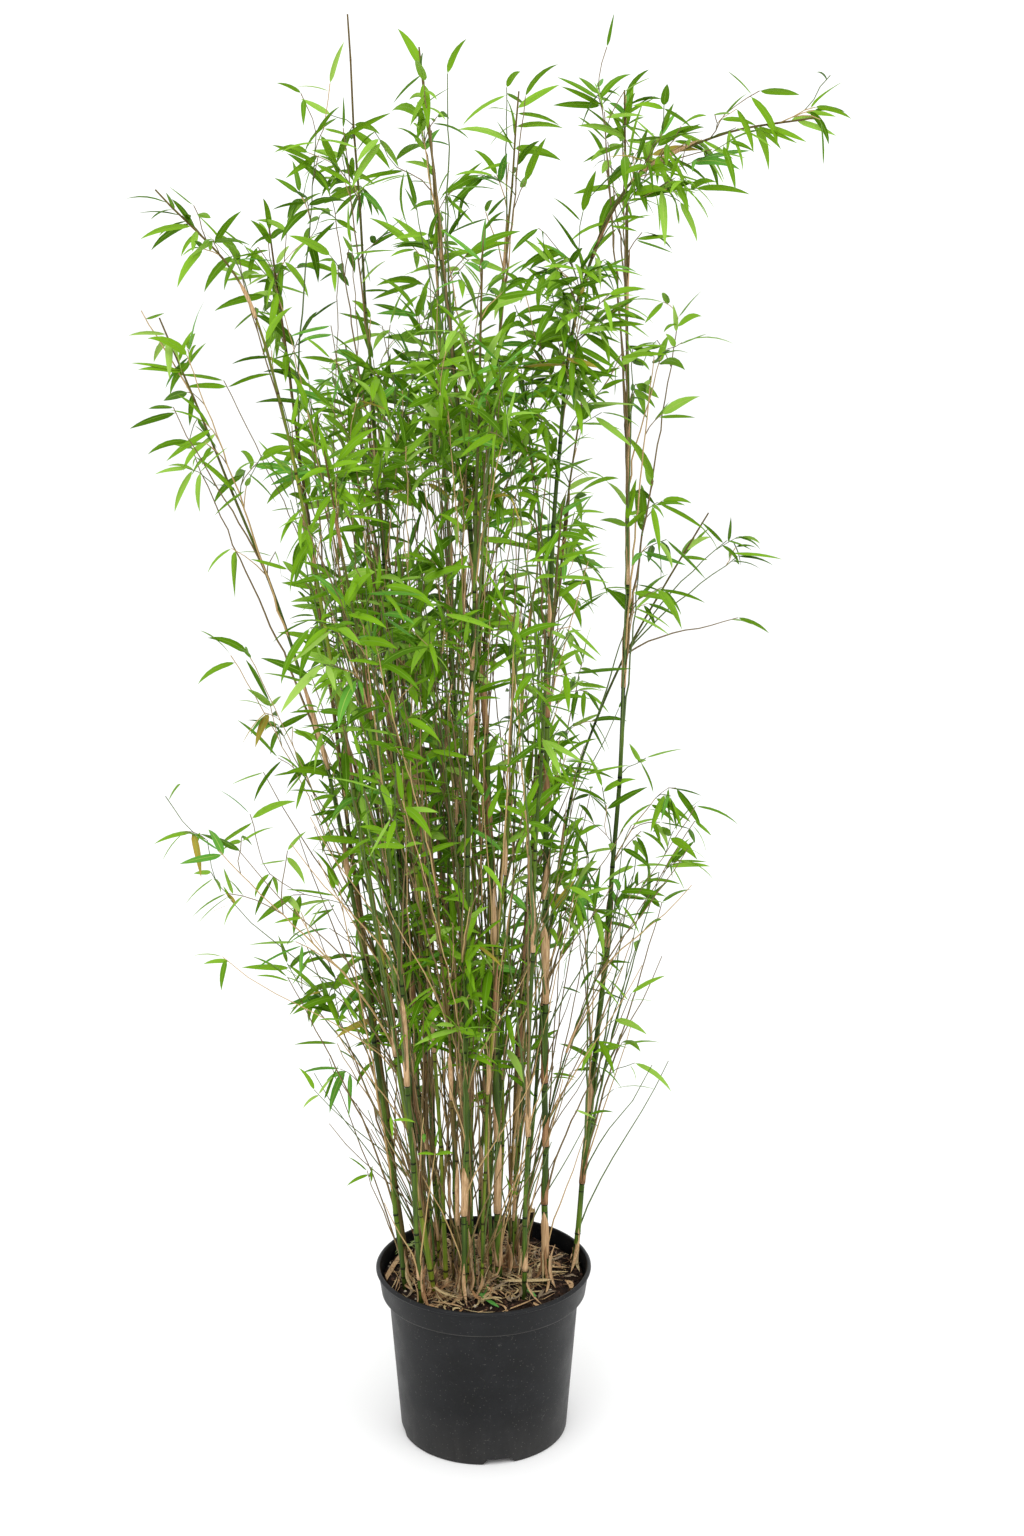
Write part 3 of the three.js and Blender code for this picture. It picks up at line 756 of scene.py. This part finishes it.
# The branches proper: long, fine and steep, several to a joint, nearly as upright as the culms.
BRANCHES = 430
BRANCH_STEP, TWIG_STEP = 18 * MM, 16 * MM
SHORTEST, LONGEST = 0.12, 0.46
STEEPEST, FLATTEST = 0.05, 0.62
joint_count = grown
for pick in chance.permutation(len(wanted))[:BRANCHES]:
    _, mass, point = wanted[pick]
    if "arch" in mass:
        continue
    away = point - growth_places[:joint_count]
    distance = np.linalg.norm(away, axis=1)
    cosine = np.einsum("ij,ij->i", away, growth_headings[:joint_count]) / distance
    lean = np.arccos(np.clip(cosine, -1, 1))
    fits = np.flatnonzero((distance > SHORTEST) & (distance < LONGEST)
                          & (lean > STEEPEST) & (lean < FLATTEST))
    if not len(fits):
        continue
    root = fits[np.argsort(lean[fits] + chance.uniform(0, 0.5, len(fits)))[0]]
    start, reach = growth_places[root].copy(), distance[root]
    straight = unit(point - start)
    leaving = unit(growth_headings[root] + straight * 0.8)
    arriving = unit(straight + (0, 0, chance.uniform(-0.25, 0.2)))
    thick = min(growth_radii[root] * 0.75, 0.8 * MM + reach * 0.0019)
    grow(mass, start, point, leaving, arriving, int(np.clip(reach / BRANCH_STEP, 5, 24)), 0.7 * MM, thick)

# The twigs: each springs from the root that costs least, where cost is distance, made dearer by a
# turn away from the root's heading, by a fall, by crowding, and by a long reach from a thin twig.
BEST_LEAN_WOODY, BEST_LEAN_TWIG = 0.65, 0.4
LEAST_CLIMB = 0.25
CROWDED, FAR, THIN = 32 * MM, 50 * MM, 0.75 * MM
for _, mass, point in wanted:
    away = point - growth_places[:grown]
    distance = np.linalg.norm(away, axis=1)
    if distance.min() < 3 * MM:
        continue
    woody = growth_woody[:grown]
    span = np.maximum(distance, MERGE)
    lean = np.arccos(np.clip(np.einsum("ij,ij->i", away, growth_headings[:grown]) / span, -1, 1))
    climb = away[:, 2] / span
    over_lean = np.maximum(0, lean - np.where(woody, BEST_LEAN_WOODY, BEST_LEAN_TWIG))
    cost = distance * (1 + 1.5 * over_lean) + np.maximum(0, LEAST_CLIMB - climb) * distance * 2.5
    cost += np.maximum(0, CROWDED - distance) * 3
    cost += np.maximum(0, distance - FAR) * (growth_radii[:grown] < THIN) * 1.5
    root = int(np.argmin(cost))
    start, reach = growth_places[root].copy(), distance[root]
    straight = unit(point - start)
    leaving = unit(growth_headings[root] * (0.7 if woody[root] else 0.9) + straight)
    arriving = unit(straight + (0, 0, chance.uniform(-0.45, 0.1)))
    thick = min(growth_radii[root] * 0.85, TWIG_TIP + reach * 0.0046)
    grow(mass, start, point, leaving, arriving, int(np.clip(reach / TWIG_STEP, 3, 16)), 0.5 * MM, thick)

# Every main culm but the bare one ends in leaves.
for culm in culms:
    if culm["name"].startswith("culm") and culm["name"] != "culm_tall_bare" and "inner" not in culm["name"]:
        for back in (20 * MM, 55 * MM):
            place, heading = at_length(culm["line"], culm["along"], culm["along"][-1] - back)
            sprays.append((f"foliage_{culm['name'][5:]}", place, unit(heading)))

# Bare young shoots stand close along the lower culms, and a few carry small sprays.
SHOOTS_FROM, SHOOTS_TO = 0.24, 0.72
SHOOT_STEPS = 7
chance = drawn(33)
for culm in culms:
    for joint in culm["joints"]:
        place, heading = at_length(culm["line"], culm["along"], joint + 3 * MM)
        if not SHOOTS_FROM < place[2] < SHOOTS_TO or chance.random() > 0.5:
            continue
        for _ in range(chance.integers(1, 4)):
            out = unit(np.array([*(place[:2] - (CLUMP.x, 0)), 0.0]) + chance.normal(0, 0.05, 3) * (1, 1, 0))
            lean = chance.uniform(0.12, 0.5)
            reach = chance.uniform(0.09, 0.3)
            toward = unit(heading * math.cos(lean) + out * math.sin(lean)
                          + chance.normal(0, 0.12, 3) * (1, 1, 0))
            line = bent_line(place, place + toward * reach, unit(heading + toward),
                             unit(toward + (0, 0, 0.2)), SHOOT_STEPS)
            line[1:-1] += chance.normal(0, 0.6 * MM, (SHOOT_STEPS - 1, 3))
            twigs.append(("foliage_heart_1_a", line, np.linspace(1.1, 0.5, SHOOT_STEPS + 1) * MM))
            if chance.random() < 0.22:
                sprays.append(("young", line[-1], toward))


def tube(line, radii):
    """A closed tapering tube of four sides along a line, as corners and faces."""
    headings = np.gradient(line, axis=0)
    headings /= np.linalg.norm(headings, axis=1)[:, None]
    side = np.cross(headings, (1.0, 0, 0) if abs(headings[0][0]) < 0.8 else (0, 1.0, 0))
    side /= np.linalg.norm(side, axis=1)[:, None]
    back = np.cross(headings, side)
    turns = np.arange(TWIG_SIDES) * math.tau / TWIG_SIDES
    rim = np.cos(turns)[None, :, None] * side[:, None] + np.sin(turns)[None, :, None] * back[:, None]
    corners = (line[:, None] + rim * radii[:, None, None]).reshape(-1, 3)
    last = (len(line) - 1) * TWIG_SIDES
    k = np.arange(last)
    after = k - k % TWIG_SIDES + (k + 1) % TWIG_SIDES
    faces = np.stack([k, after, after + TWIG_SIDES, k + TWIG_SIDES], axis=1)
    caps = [[3, 2, 1, 0], [last, last + 1, last + 2, last + 3]]
    return corners, np.vstack([faces, caps])


def bundle(name, tubes, materials):
    """Joins many tubes as one piece. Each tube: its line, its radii and its material's number."""
    corners, faces, kinds, count = [], [], [], 0
    for line, radii, kind in tubes:
        own_corners, own_faces = tube(line, radii)
        corners.append(own_corners)
        faces.append(own_faces + count)
        kinds.append(np.full(len(own_faces), kind))
        count += len(own_corners)
    return piece_of_arrays(name, np.concatenate(corners), np.concatenate(faces), np.concatenate(kinds),
                           materials)


REGIONS = {
    "heart_low": ("heart_1", "heart_2"), "heart_high": ("heart_3", "heart_4"),
    "left": ("left_low", "left_middle", "left_upper", "left_outer", "arch_left", "red_brown"),
    "right": ("right_inner", "right_low", "right_middle", "right_reach", "right_upper"),
    "top": ("tall_bare", "sheathed", "back_tall", "arch_right", "right_outer"),
    "back": ("back_left", "back_right", "back_high", "back_reach"),
    "front": ("front_left", "front_right", "front_high"),
}


def region_of(mass):
    """The part of the crown that a mass is in. An arch or top is told before a plain side."""
    for region in ("top", "heart_low", "heart_high", "back", "front", "left", "right"):
        if any(key in mass for key in REGIONS[region]):
            return region
    return "heart_low"


twig_brown, _, _ = finish_of("brown twig", {"Base Color": linear("#6e5a30"), "Roughness": 0.6})
twig_green, _, _ = finish_of("green twig", {"Base Color": linear("#4d6320"), "Roughness": 0.55})
twig_straw, _, _ = finish_of("straw twig", {"Base Color": linear("#b0925f"), "Roughness": 0.65})
chance = drawn(35)
for region in REGIONS:
    tubes = [(line, radii, chance.choice(3, p=(0.46, 0.32, 0.22)))
             for mass, line, radii in twigs if region_of(mass) == region]
    twig_piece = bundle(f"twigs_{region}", tubes, [twig_brown, twig_green, twig_straw])
    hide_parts(*[m for m in masses if region_of(m) == region])


# ---- The leaves ----
# Lance-shaped blades with a long fine point, thin and faintly folded along a paler midrib.
# They stand in fans of up to five at the end of each twig, and droop towards their tips.

LEAF_STATIONS = np.array([0, 0.035, 0.08, 0.18, 0.32, 0.5, 0.68, 0.84, 0.94, 1.0])
LEAF_WIDTHS = np.array([0.09, 0.1, 0.5, 0.9, 1.0, 0.94, 0.74, 0.43, 0.17, 0.02])
LEAF_ACROSS = np.array([-1.0, -0.075, 0.075, 1.0])
LEAF_SHORTEST, LEAF_RANGE = 33 * MM, 41 * MM
SLIMMEST, BROADEST = 0.13, 0.18      # a leaf's width against its length
BLADES = ["#456c08", "#55800c", "#648f12", "#6e9a18", "#78a428", "#82ac3c", "#90b44e", "#5a9432", "#a08f38"]
DEALT = (0.12, 0.18, 0.2, 0.185, 0.13, 0.08, 0.04, 0.06, 0.005)      # the share of each blade colour
MIDRIBS = ["#6c942a", "#90ab48"]
FIRST_PALE = 5      # blades from here on have the paler midrib


def leaf_arrays(bases, directions, lengths, widths, sags, rolls, folds):
    """All leaves at once: corners and faces of blades that bend down as they go out."""
    count = len(bases)
    down = np.array([0, 0, -1.0]) - directions * (-directions[:, 2:3])
    slack = np.linalg.norm(down, axis=1)
    down = np.where(slack[:, None] > 0.05, down / np.maximum(slack, 1e-6)[:, None], (1.0, 0, 0))
    a = np.maximum(sags, 0.02)[:, None, None]
    t = LEAF_STATIONS[None, :, None]
    d, g = directions[:, None], down[:, None]
    middle = bases[:, None] + lengths[:, None, None] / a * (d * np.sin(a * t) + g * (1 - np.cos(a * t)))
    heading = d * np.cos(a * t) + g * np.sin(a * t)
    side = np.cross(d, g)
    upward = np.cross(side, heading)
    roll = rolls[:, None, None] * (0.75 + 0.5 * t)
    flat = side * np.cos(roll) + upward * np.sin(roll)
    normal = np.cross(flat, heading)
    half = widths[:, None, None] / 2 * LEAF_WIDTHS[None, :, None]
    x = LEAF_ACROSS[None, None, :, None]
    fold = folds[:, None, None, None]
    corners = (middle[:, :, None] + flat[:, :, None] * half[:, :, None] * x * np.cos(fold)
               + normal[:, :, None] * half[:, :, None] * np.abs(x) * np.sin(fold))
    quads = grid_quads(len(LEAF_STATIONS), len(LEAF_ACROSS))
    per_leaf = len(LEAF_STATIONS) * len(LEAF_ACROSS)
    faces = (quads[None] + (np.arange(count) * per_leaf)[:, None, None]).reshape(-1, 4)
    return corners.reshape(-1, 3), faces


# Thin living leaf: a satin skin without much gloss, each spray in one of nine plain greens.
blades = [finish_of(f"leaf blade {k + 1}", {
    "Base Color": linear(c), "Roughness": 0.5, "IOR": 1.4, "Specular IOR Level": 0.09})[0]
    for k, c in enumerate(BLADES)]
ribs = [finish_of(f"leaf midrib {k + 1}", {
    "Base Color": linear(c), "Roughness": 0.55, "Specular IOR Level": 0.2})[0]
    for k, c in enumerate(MIDRIBS)]

chance = drawn(41)
leaves = {region: [] for region in REGIONS}
room_low, room_high = np.array(cad_low) - 6 * MM, np.array(cad_high) + 6 * MM
for mass, place, heading in sprays:
    tone = chance.choice(len(BLADES), p=DEALT)
    number = chance.choice((1, 2, 3, 4, 5), p=(0.08, 0.27, 0.35, 0.21, 0.09))
    spread = unit(np.cross(heading, (0, 0, 1)) + chance.normal(0, 0.5, 3))
    spread = unit(spread - heading * spread.dot(heading))
    weight = chance.uniform(0.0, 0.85)
    for k in range(number):
        # the first leaf ends the twig, and the others stand out from either side, further and further back
        fan = chance.normal(0, 0.2) if k == 0 else (-1) ** k * chance.uniform(0.5, 1.25)
        back = 0.0 if k == 0 else (1 + 8 * ((k + 1) // 2)) * MM * chance.uniform(0.6, 1.3)
        out = heading * math.cos(fan) + spread * math.sin(fan) + chance.normal(0, 0.2, 3)
        out = unit(out - (0, 0, weight * chance.uniform(0.6, 1.4)))
        length = (LEAF_SHORTEST + LEAF_RANGE * chance.beta(1.6, 2.1)) * (0.7 if mass == "young" else 1.0)
        base = place - heading * back
        tip = base + out * length * 0.93
        if np.any(tip < room_low) or np.any(tip > room_high):
            continue
        own = tone if chance.random() < 0.7 else chance.choice(len(BLADES), p=DEALT)
        leaves[region_of(mass)].append((
            base, out, length, length * chance.uniform(SLIMMEST, BROADEST), chance.uniform(0.15, 1.0),
            chance.normal(0, 0.85), chance.uniform(0.12, 0.45), own))

strips_across = len(LEAF_ACROSS) - 1
for region in REGIONS:
    *shapes, own = (np.array(column) for column in zip(*leaves[region]))
    corners, faces = leaf_arrays(*shapes)
    kinds = np.repeat(own, (len(LEAF_STATIONS) - 1) * strips_across).reshape(-1, strips_across)
    kinds[:, 1] = len(BLADES) + (kinds[:, 1] >= FIRST_PALE)
    leaf_piece = piece_of_arrays(f"leaves_{region}", corners, faces, kinds.ravel(), blades + ribs)
    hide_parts(*[m for m in masses if region_of(m) == region])


# ---- The litter ----
# What the clump has shed lies on the compost: flat straws, curled husks, thin dry twigs
# and a few short green blades, heaped against the feet of the culms.

chance = drawn(51)
STRIP_ROWS = 9
STRAWS, FIBRES, CLIPPINGS = 600, 250, 16
FIBRE_STEPS = 6
STRAW_THICKNESS = 0.35 * MM
# The litter's materials are numbered: five dry kinds, dealt out in shares, then two green ones.
LOOSE, TORN = (0.3, 0.26, 0.14, 0.12, 0.18), (0.2, 0.36, 0.08, 0.2, 0.16)
BLEACHED, PALE_HUSK, CUT_GREEN, WEED = 0, 1, 5, 6
strips, strip_kinds = [], []


def strip(line, width, sideways, kind, taper, crease=0.16):
    """A narrow blade of husk or straw along a line, creased down its middle."""
    s = np.linspace(-1, 1, STRIP_ROWS)[:, None]
    middle = np.array([np.interp(np.linspace(0, 1, STRIP_ROWS), np.linspace(0, 1, len(line)), line[:, k])
                       for k in range(3)]).T
    half = sideways * width / 2 * (1 - 0.96 * np.abs(s) ** taper)
    fold = np.array([0, 0, 1.0]) * width * crease
    rows = np.stack([middle - half + fold, middle - fold * 0.4, middle + half + fold], axis=1)
    strips.append(rows.reshape(-1, 3))
    strip_kinds.append(kind)


def on_soil(x, y, lift=0.0):
    """A point over the compost, kept inside the rim."""
    over = max(1.0, math.hypot(x, y) / (soil_radius * 0.965))
    return np.array([x / over, y / over, compost_height(x / over, y / over) + lift])


def lying(x, y, length, facing, width, kind, lift, curl, tilt, taper=2.2):
    """A strip lying on the compost, round a middle point, and bridging the hollows under it."""
    line, turned = [], []
    for s in np.linspace(-0.5, 0.5, STRIP_ROWS):
        angle = facing + curl * s
        line.append(on_soil(x + math.cos(angle) * length * s, y + math.sin(angle) * length * s,
                            lift + tilt * length * s))
        turned.append((-math.sin(angle), math.cos(angle), 0.0))
    line = np.array(line)
    line[:, 2] = np.maximum(line[:, 2], np.linspace(line[0, 2], line[-1, 2], STRIP_ROWS))
    strip(line, width, np.array(turned), kind, taper)


# loose straw and torn husk, thickest among the feet
for _ in range(STRAWS):
    near = chance.random() < 0.74
    turn = chance.uniform(0, math.tau)
    out = (chance.uniform(0, 1) ** 0.6) * (90 * MM if near else soil_radius * 0.92)
    length = chance.choice([chance.uniform(10, 30), chance.uniform(30, 66)], p=(0.62, 0.38)) * MM
    lying((CLUMP.x if near else 0) + out * math.cos(turn), out * math.sin(turn), length,
          chance.uniform(0, math.tau),
          chance.choice([chance.uniform(0.6, 1.6), chance.uniform(1.6, 5.6)], p=(0.45, 0.55)) * MM,
          chance.choice(5, p=LOOSE), chance.uniform(0.8, 15 if near else 2.5) * MM,
          chance.normal(0, 0.9), chance.normal(0, 0.2 if near else 0.05))

# old husks stand torn and splayed round the feet of the culms
for culm in culms:
    foot, thick = culm["line"][0], culm["radii"][0]
    for _ in range(chance.integers(4, 9)):
        turn = chance.uniform(0, math.tau)
        rise = chance.uniform(10, 58) * MM
        outward = np.array([math.cos(turn), math.sin(turn), 0.0])
        drift = np.array([-outward[1], outward[0], 0.0])
        stem_at = at_length(culm["line"], culm["along"], rise * 0.5)[0] * (1, 1, 0)
        stem_up = at_length(culm["line"], culm["along"], rise)[0] * (1, 1, 0)
        low = foot + outward * (thick + chance.uniform(3, 20) * MM) + drift * chance.normal(0, 6 * MM)
        low = on_soil(low[0], low[1], 0.5 * MM)
        middle = stem_at + outward * (thick + chance.uniform(0.6, 3) * MM) + (0, 0, low[2] + rise * 0.42)
        high = stem_up + outward * (thick + chance.uniform(0.5, 12) * MM) + (0, 0, low[2] + rise)
        s = np.linspace(0, 1, STRIP_ROWS)[:, None]
        line = (1 - s) ** 2 * low + 2 * s * (1 - s) * (2 * middle - (low + high) / 2) + s ** 2 * high
        if np.hypot(line[:, 0], line[:, 1]).max() < soil_radius * 0.97:
            strip(line, chance.uniform(2.0, 8.5) * MM, drift + outward * chance.normal(0, 0.3),
                  chance.choice(5, p=TORN), chance.uniform(1.2, 2.4), 0.0)

# a few pieces that catch the eye: a broad flat straw, a long pale one, cut green blades
for x, y, length, facing, width, kind, lift, curl, tilt, taper in (
        (56, -50, 64, 0.04, 7, BLEACHED, 14, 0.05, 0.02, 14),
        (84, -42, 40, 1.45, 3.2, PALE_HUSK, 7, 0.1, 0.08, 6),
        (-114, 30, 96, 1.27, 6.5, PALE_HUSK, 3, 0.08, 0.0, 10),
        (-46, -78, 46, 0.9, 3.5, BLEACHED, 2, 0.2, 0.05, 5),
        (-44, -88, 40, -0.35, 3.0, PALE_HUSK, 3, -0.2, 0.03, 5),
        (112, -32, 20, 2.0, 8, PALE_HUSK, 2, 0.6, 0.3, 2),
        (6, -84, 50, -1.0, 6, CUT_GREEN, 5, 0.1, 0.0, 5),
        (58, -68, 34, -1.02, 5, CUT_GREEN, 9, 0.1, 0.0, 5),
        (4, -60, 24, 1.3, 2.6, CUT_GREEN, 6, 0.2, 0.3, 4)):
    lying(x * MM, y * MM, length * MM, facing, width * MM, kind, lift * MM, curl, tilt, taper)
# a tuft of pale weed at the back left
for k in range(CLIPPINGS):
    lying((-112 + k * 1.3) * MM, (44 + k * 2) * MM, chance.uniform(10, 20) * MM, chance.uniform(-0.5, 0.4),
          chance.uniform(1.4, 2.8) * MM, WEED, chance.uniform(8, 14) * MM, chance.normal(0, 0.8),
          chance.normal(0, 0.3))

husk_grey = husk_finish("weathered husk", "#5f5243", "#85735c", "#a8957a")
straw_pale = husk_finish("bleached straw", "#9c8458", "#bda679", "#d4c198")
straw_dark, _, _ = finish_of("old brown straw", {"Base Color": linear("#5c4229"), "Roughness": 0.75})
cut_blade, _, _ = finish_of("cut green blade", {"Base Color": linear("#4f8f3c"), "Roughness": 0.45})
weed, _, _ = finish_of("pale green weed", {"Base Color": linear("#8fa45c"), "Roughness": 0.7})
quads = grid_quads(STRIP_ROWS, 3)
litter = piece_of_arrays("dry_litter", np.concatenate(strips),
                         np.concatenate([quads + k * STRIP_ROWS * 3 for k in range(len(strips))]),
                         np.repeat(strip_kinds, len(quads)),
                         [straw_pale, husk_pale, straw_dark, husk_brown, husk_grey, cut_blade, weed])
body = litter.modifiers.new("straw thickness", "SOLIDIFY")
body.thickness, body.offset = STRAW_THICKNESS, 0.0

# fine dry roots and fibres lie matted between the straws
tubes = []
for _ in range(FIBRES):
    turn, out = chance.uniform(0, math.tau), (chance.random() ** 0.6) * 96 * MM
    here = on_soil(CLUMP.x + out * math.cos(turn), out * math.sin(turn), chance.uniform(1, 12) * MM)
    facing, curl = chance.uniform(0, math.tau), chance.normal(0, 2.2)
    length = chance.uniform(12, 44) * MM
    line = [here]
    for j in range(FIBRE_STEPS):
        angle = facing + curl * j / FIBRE_STEPS
        step = np.array([math.cos(angle), math.sin(angle), chance.normal(0, 0.25)]) * length / FIBRE_STEPS
        line.append(np.maximum(line[-1] + step, (-1, -1, soil_top - 1 * MM)))
    line = np.array(line)
    if np.hypot(line[:, 0], line[:, 1]).max() <= soil_radius * 0.96:
        tubes.append((line, np.full(len(line), chance.uniform(0.16, 0.38) * MM),
                      chance.choice(3, p=(0.5, 0.3, 0.2))))
bundle("dry_fibres", tubes, [twig_straw, twig_brown, straw_dark])

# the stump of an old culm, sawn off low, stands at the back
STUMP_HEIGHT = 44 * MM
bm = bmesh.new()
stump_at = Matrix.Translation((55 * MM, 104 * MM, soil_top - 2 * MM)) @ Matrix.Rotation(0.14, 4, "Y")
bmesh.ops.create_cone(bm, cap_ends=True, segments=20, radius1=8.5 * MM, radius2=7.5 * MM, depth=STUMP_HEIGHT,
                      matrix=stump_at @ Matrix.Translation((0, 0, STUMP_HEIGHT / 2 - 2 * MM)))
top = max(bm.faces, key=lambda f: f.calc_center_median().z)
sawn = bmesh.ops.inset_individual(bm, faces=[top], thickness=1.6 * MM)["faces"]
bmesh.ops.translate(bm, verts=list(top.verts), vec=(0, 0, -3 * MM))
for face in [top, *sawn]:
    face.material_index = 1
piece_from(bm, "sawn_stump", [brown_culm, straw_pale], smooth=False)


# ---- The floor, the light and the camera ----
# A pale floor without an edge in view, a white room and two broad lamps: soft light from all round.

FLOOR_SIZE = 30.0
bm = bmesh.new()
bmesh.ops.create_grid(bm, x_segments=1, y_segments=1, size=FLOOR_SIZE)
floor_paint, _, _ = finish_of("white floor paint", {"Base Color": linear("#f4f4f4"), "Roughness": 0.9})
floor = into_scene(mesh_from(bm, "floor", [floor_paint]), "floor")

world = bpy.data.worlds.new("white room")
world.use_nodes = True
room = world.node_tree.nodes["Background"].inputs
room["Color"].default_value = (1, 1, 1, 1)
room["Strength"].default_value = 1.0
bpy.context.scene.world = world


def lamp(name, at, size, watts):
    """A broad soft lamp that faces the middle of the plant."""
    light = bpy.data.lights.new(name, "AREA")
    light.shape, light.size, light.energy = "DISK", size, watts
    made = into_scene(light, name)
    made.location = at
    made.rotation_mode = "QUATERNION"
    made.rotation_quaternion = (PLANT_MIDDLE - Vector(at)).to_track_quat("-Z", "Y")


PLANT_MIDDLE = Vector((0, 0, 0.9))
lamp("key lamp", (-1.0, -2.4, 3.7), 3.0, 44)
lamp("fill lamp", (2.2, -2.0, 2.8), 2.6, 24)

CAMERA_PITCH = 15      # degrees under level
camera = bpy.data.cameras.new("camera")
camera.lens, camera.sensor_width = 55.4, 36.0
camera.clip_start, camera.clip_end = 0.05, 100
viewer = into_scene(camera, "camera")
viewer.location = (0.037, -2.808, 1.65)
viewer.rotation_euler = (math.radians(90 - CAMERA_PITCH), 0, 0)
bpy.context.scene.camera = viewer
bpy.context.scene.view_settings.view_transform = "Standard"
bpy.context.scene.view_settings.exposure = 0.25
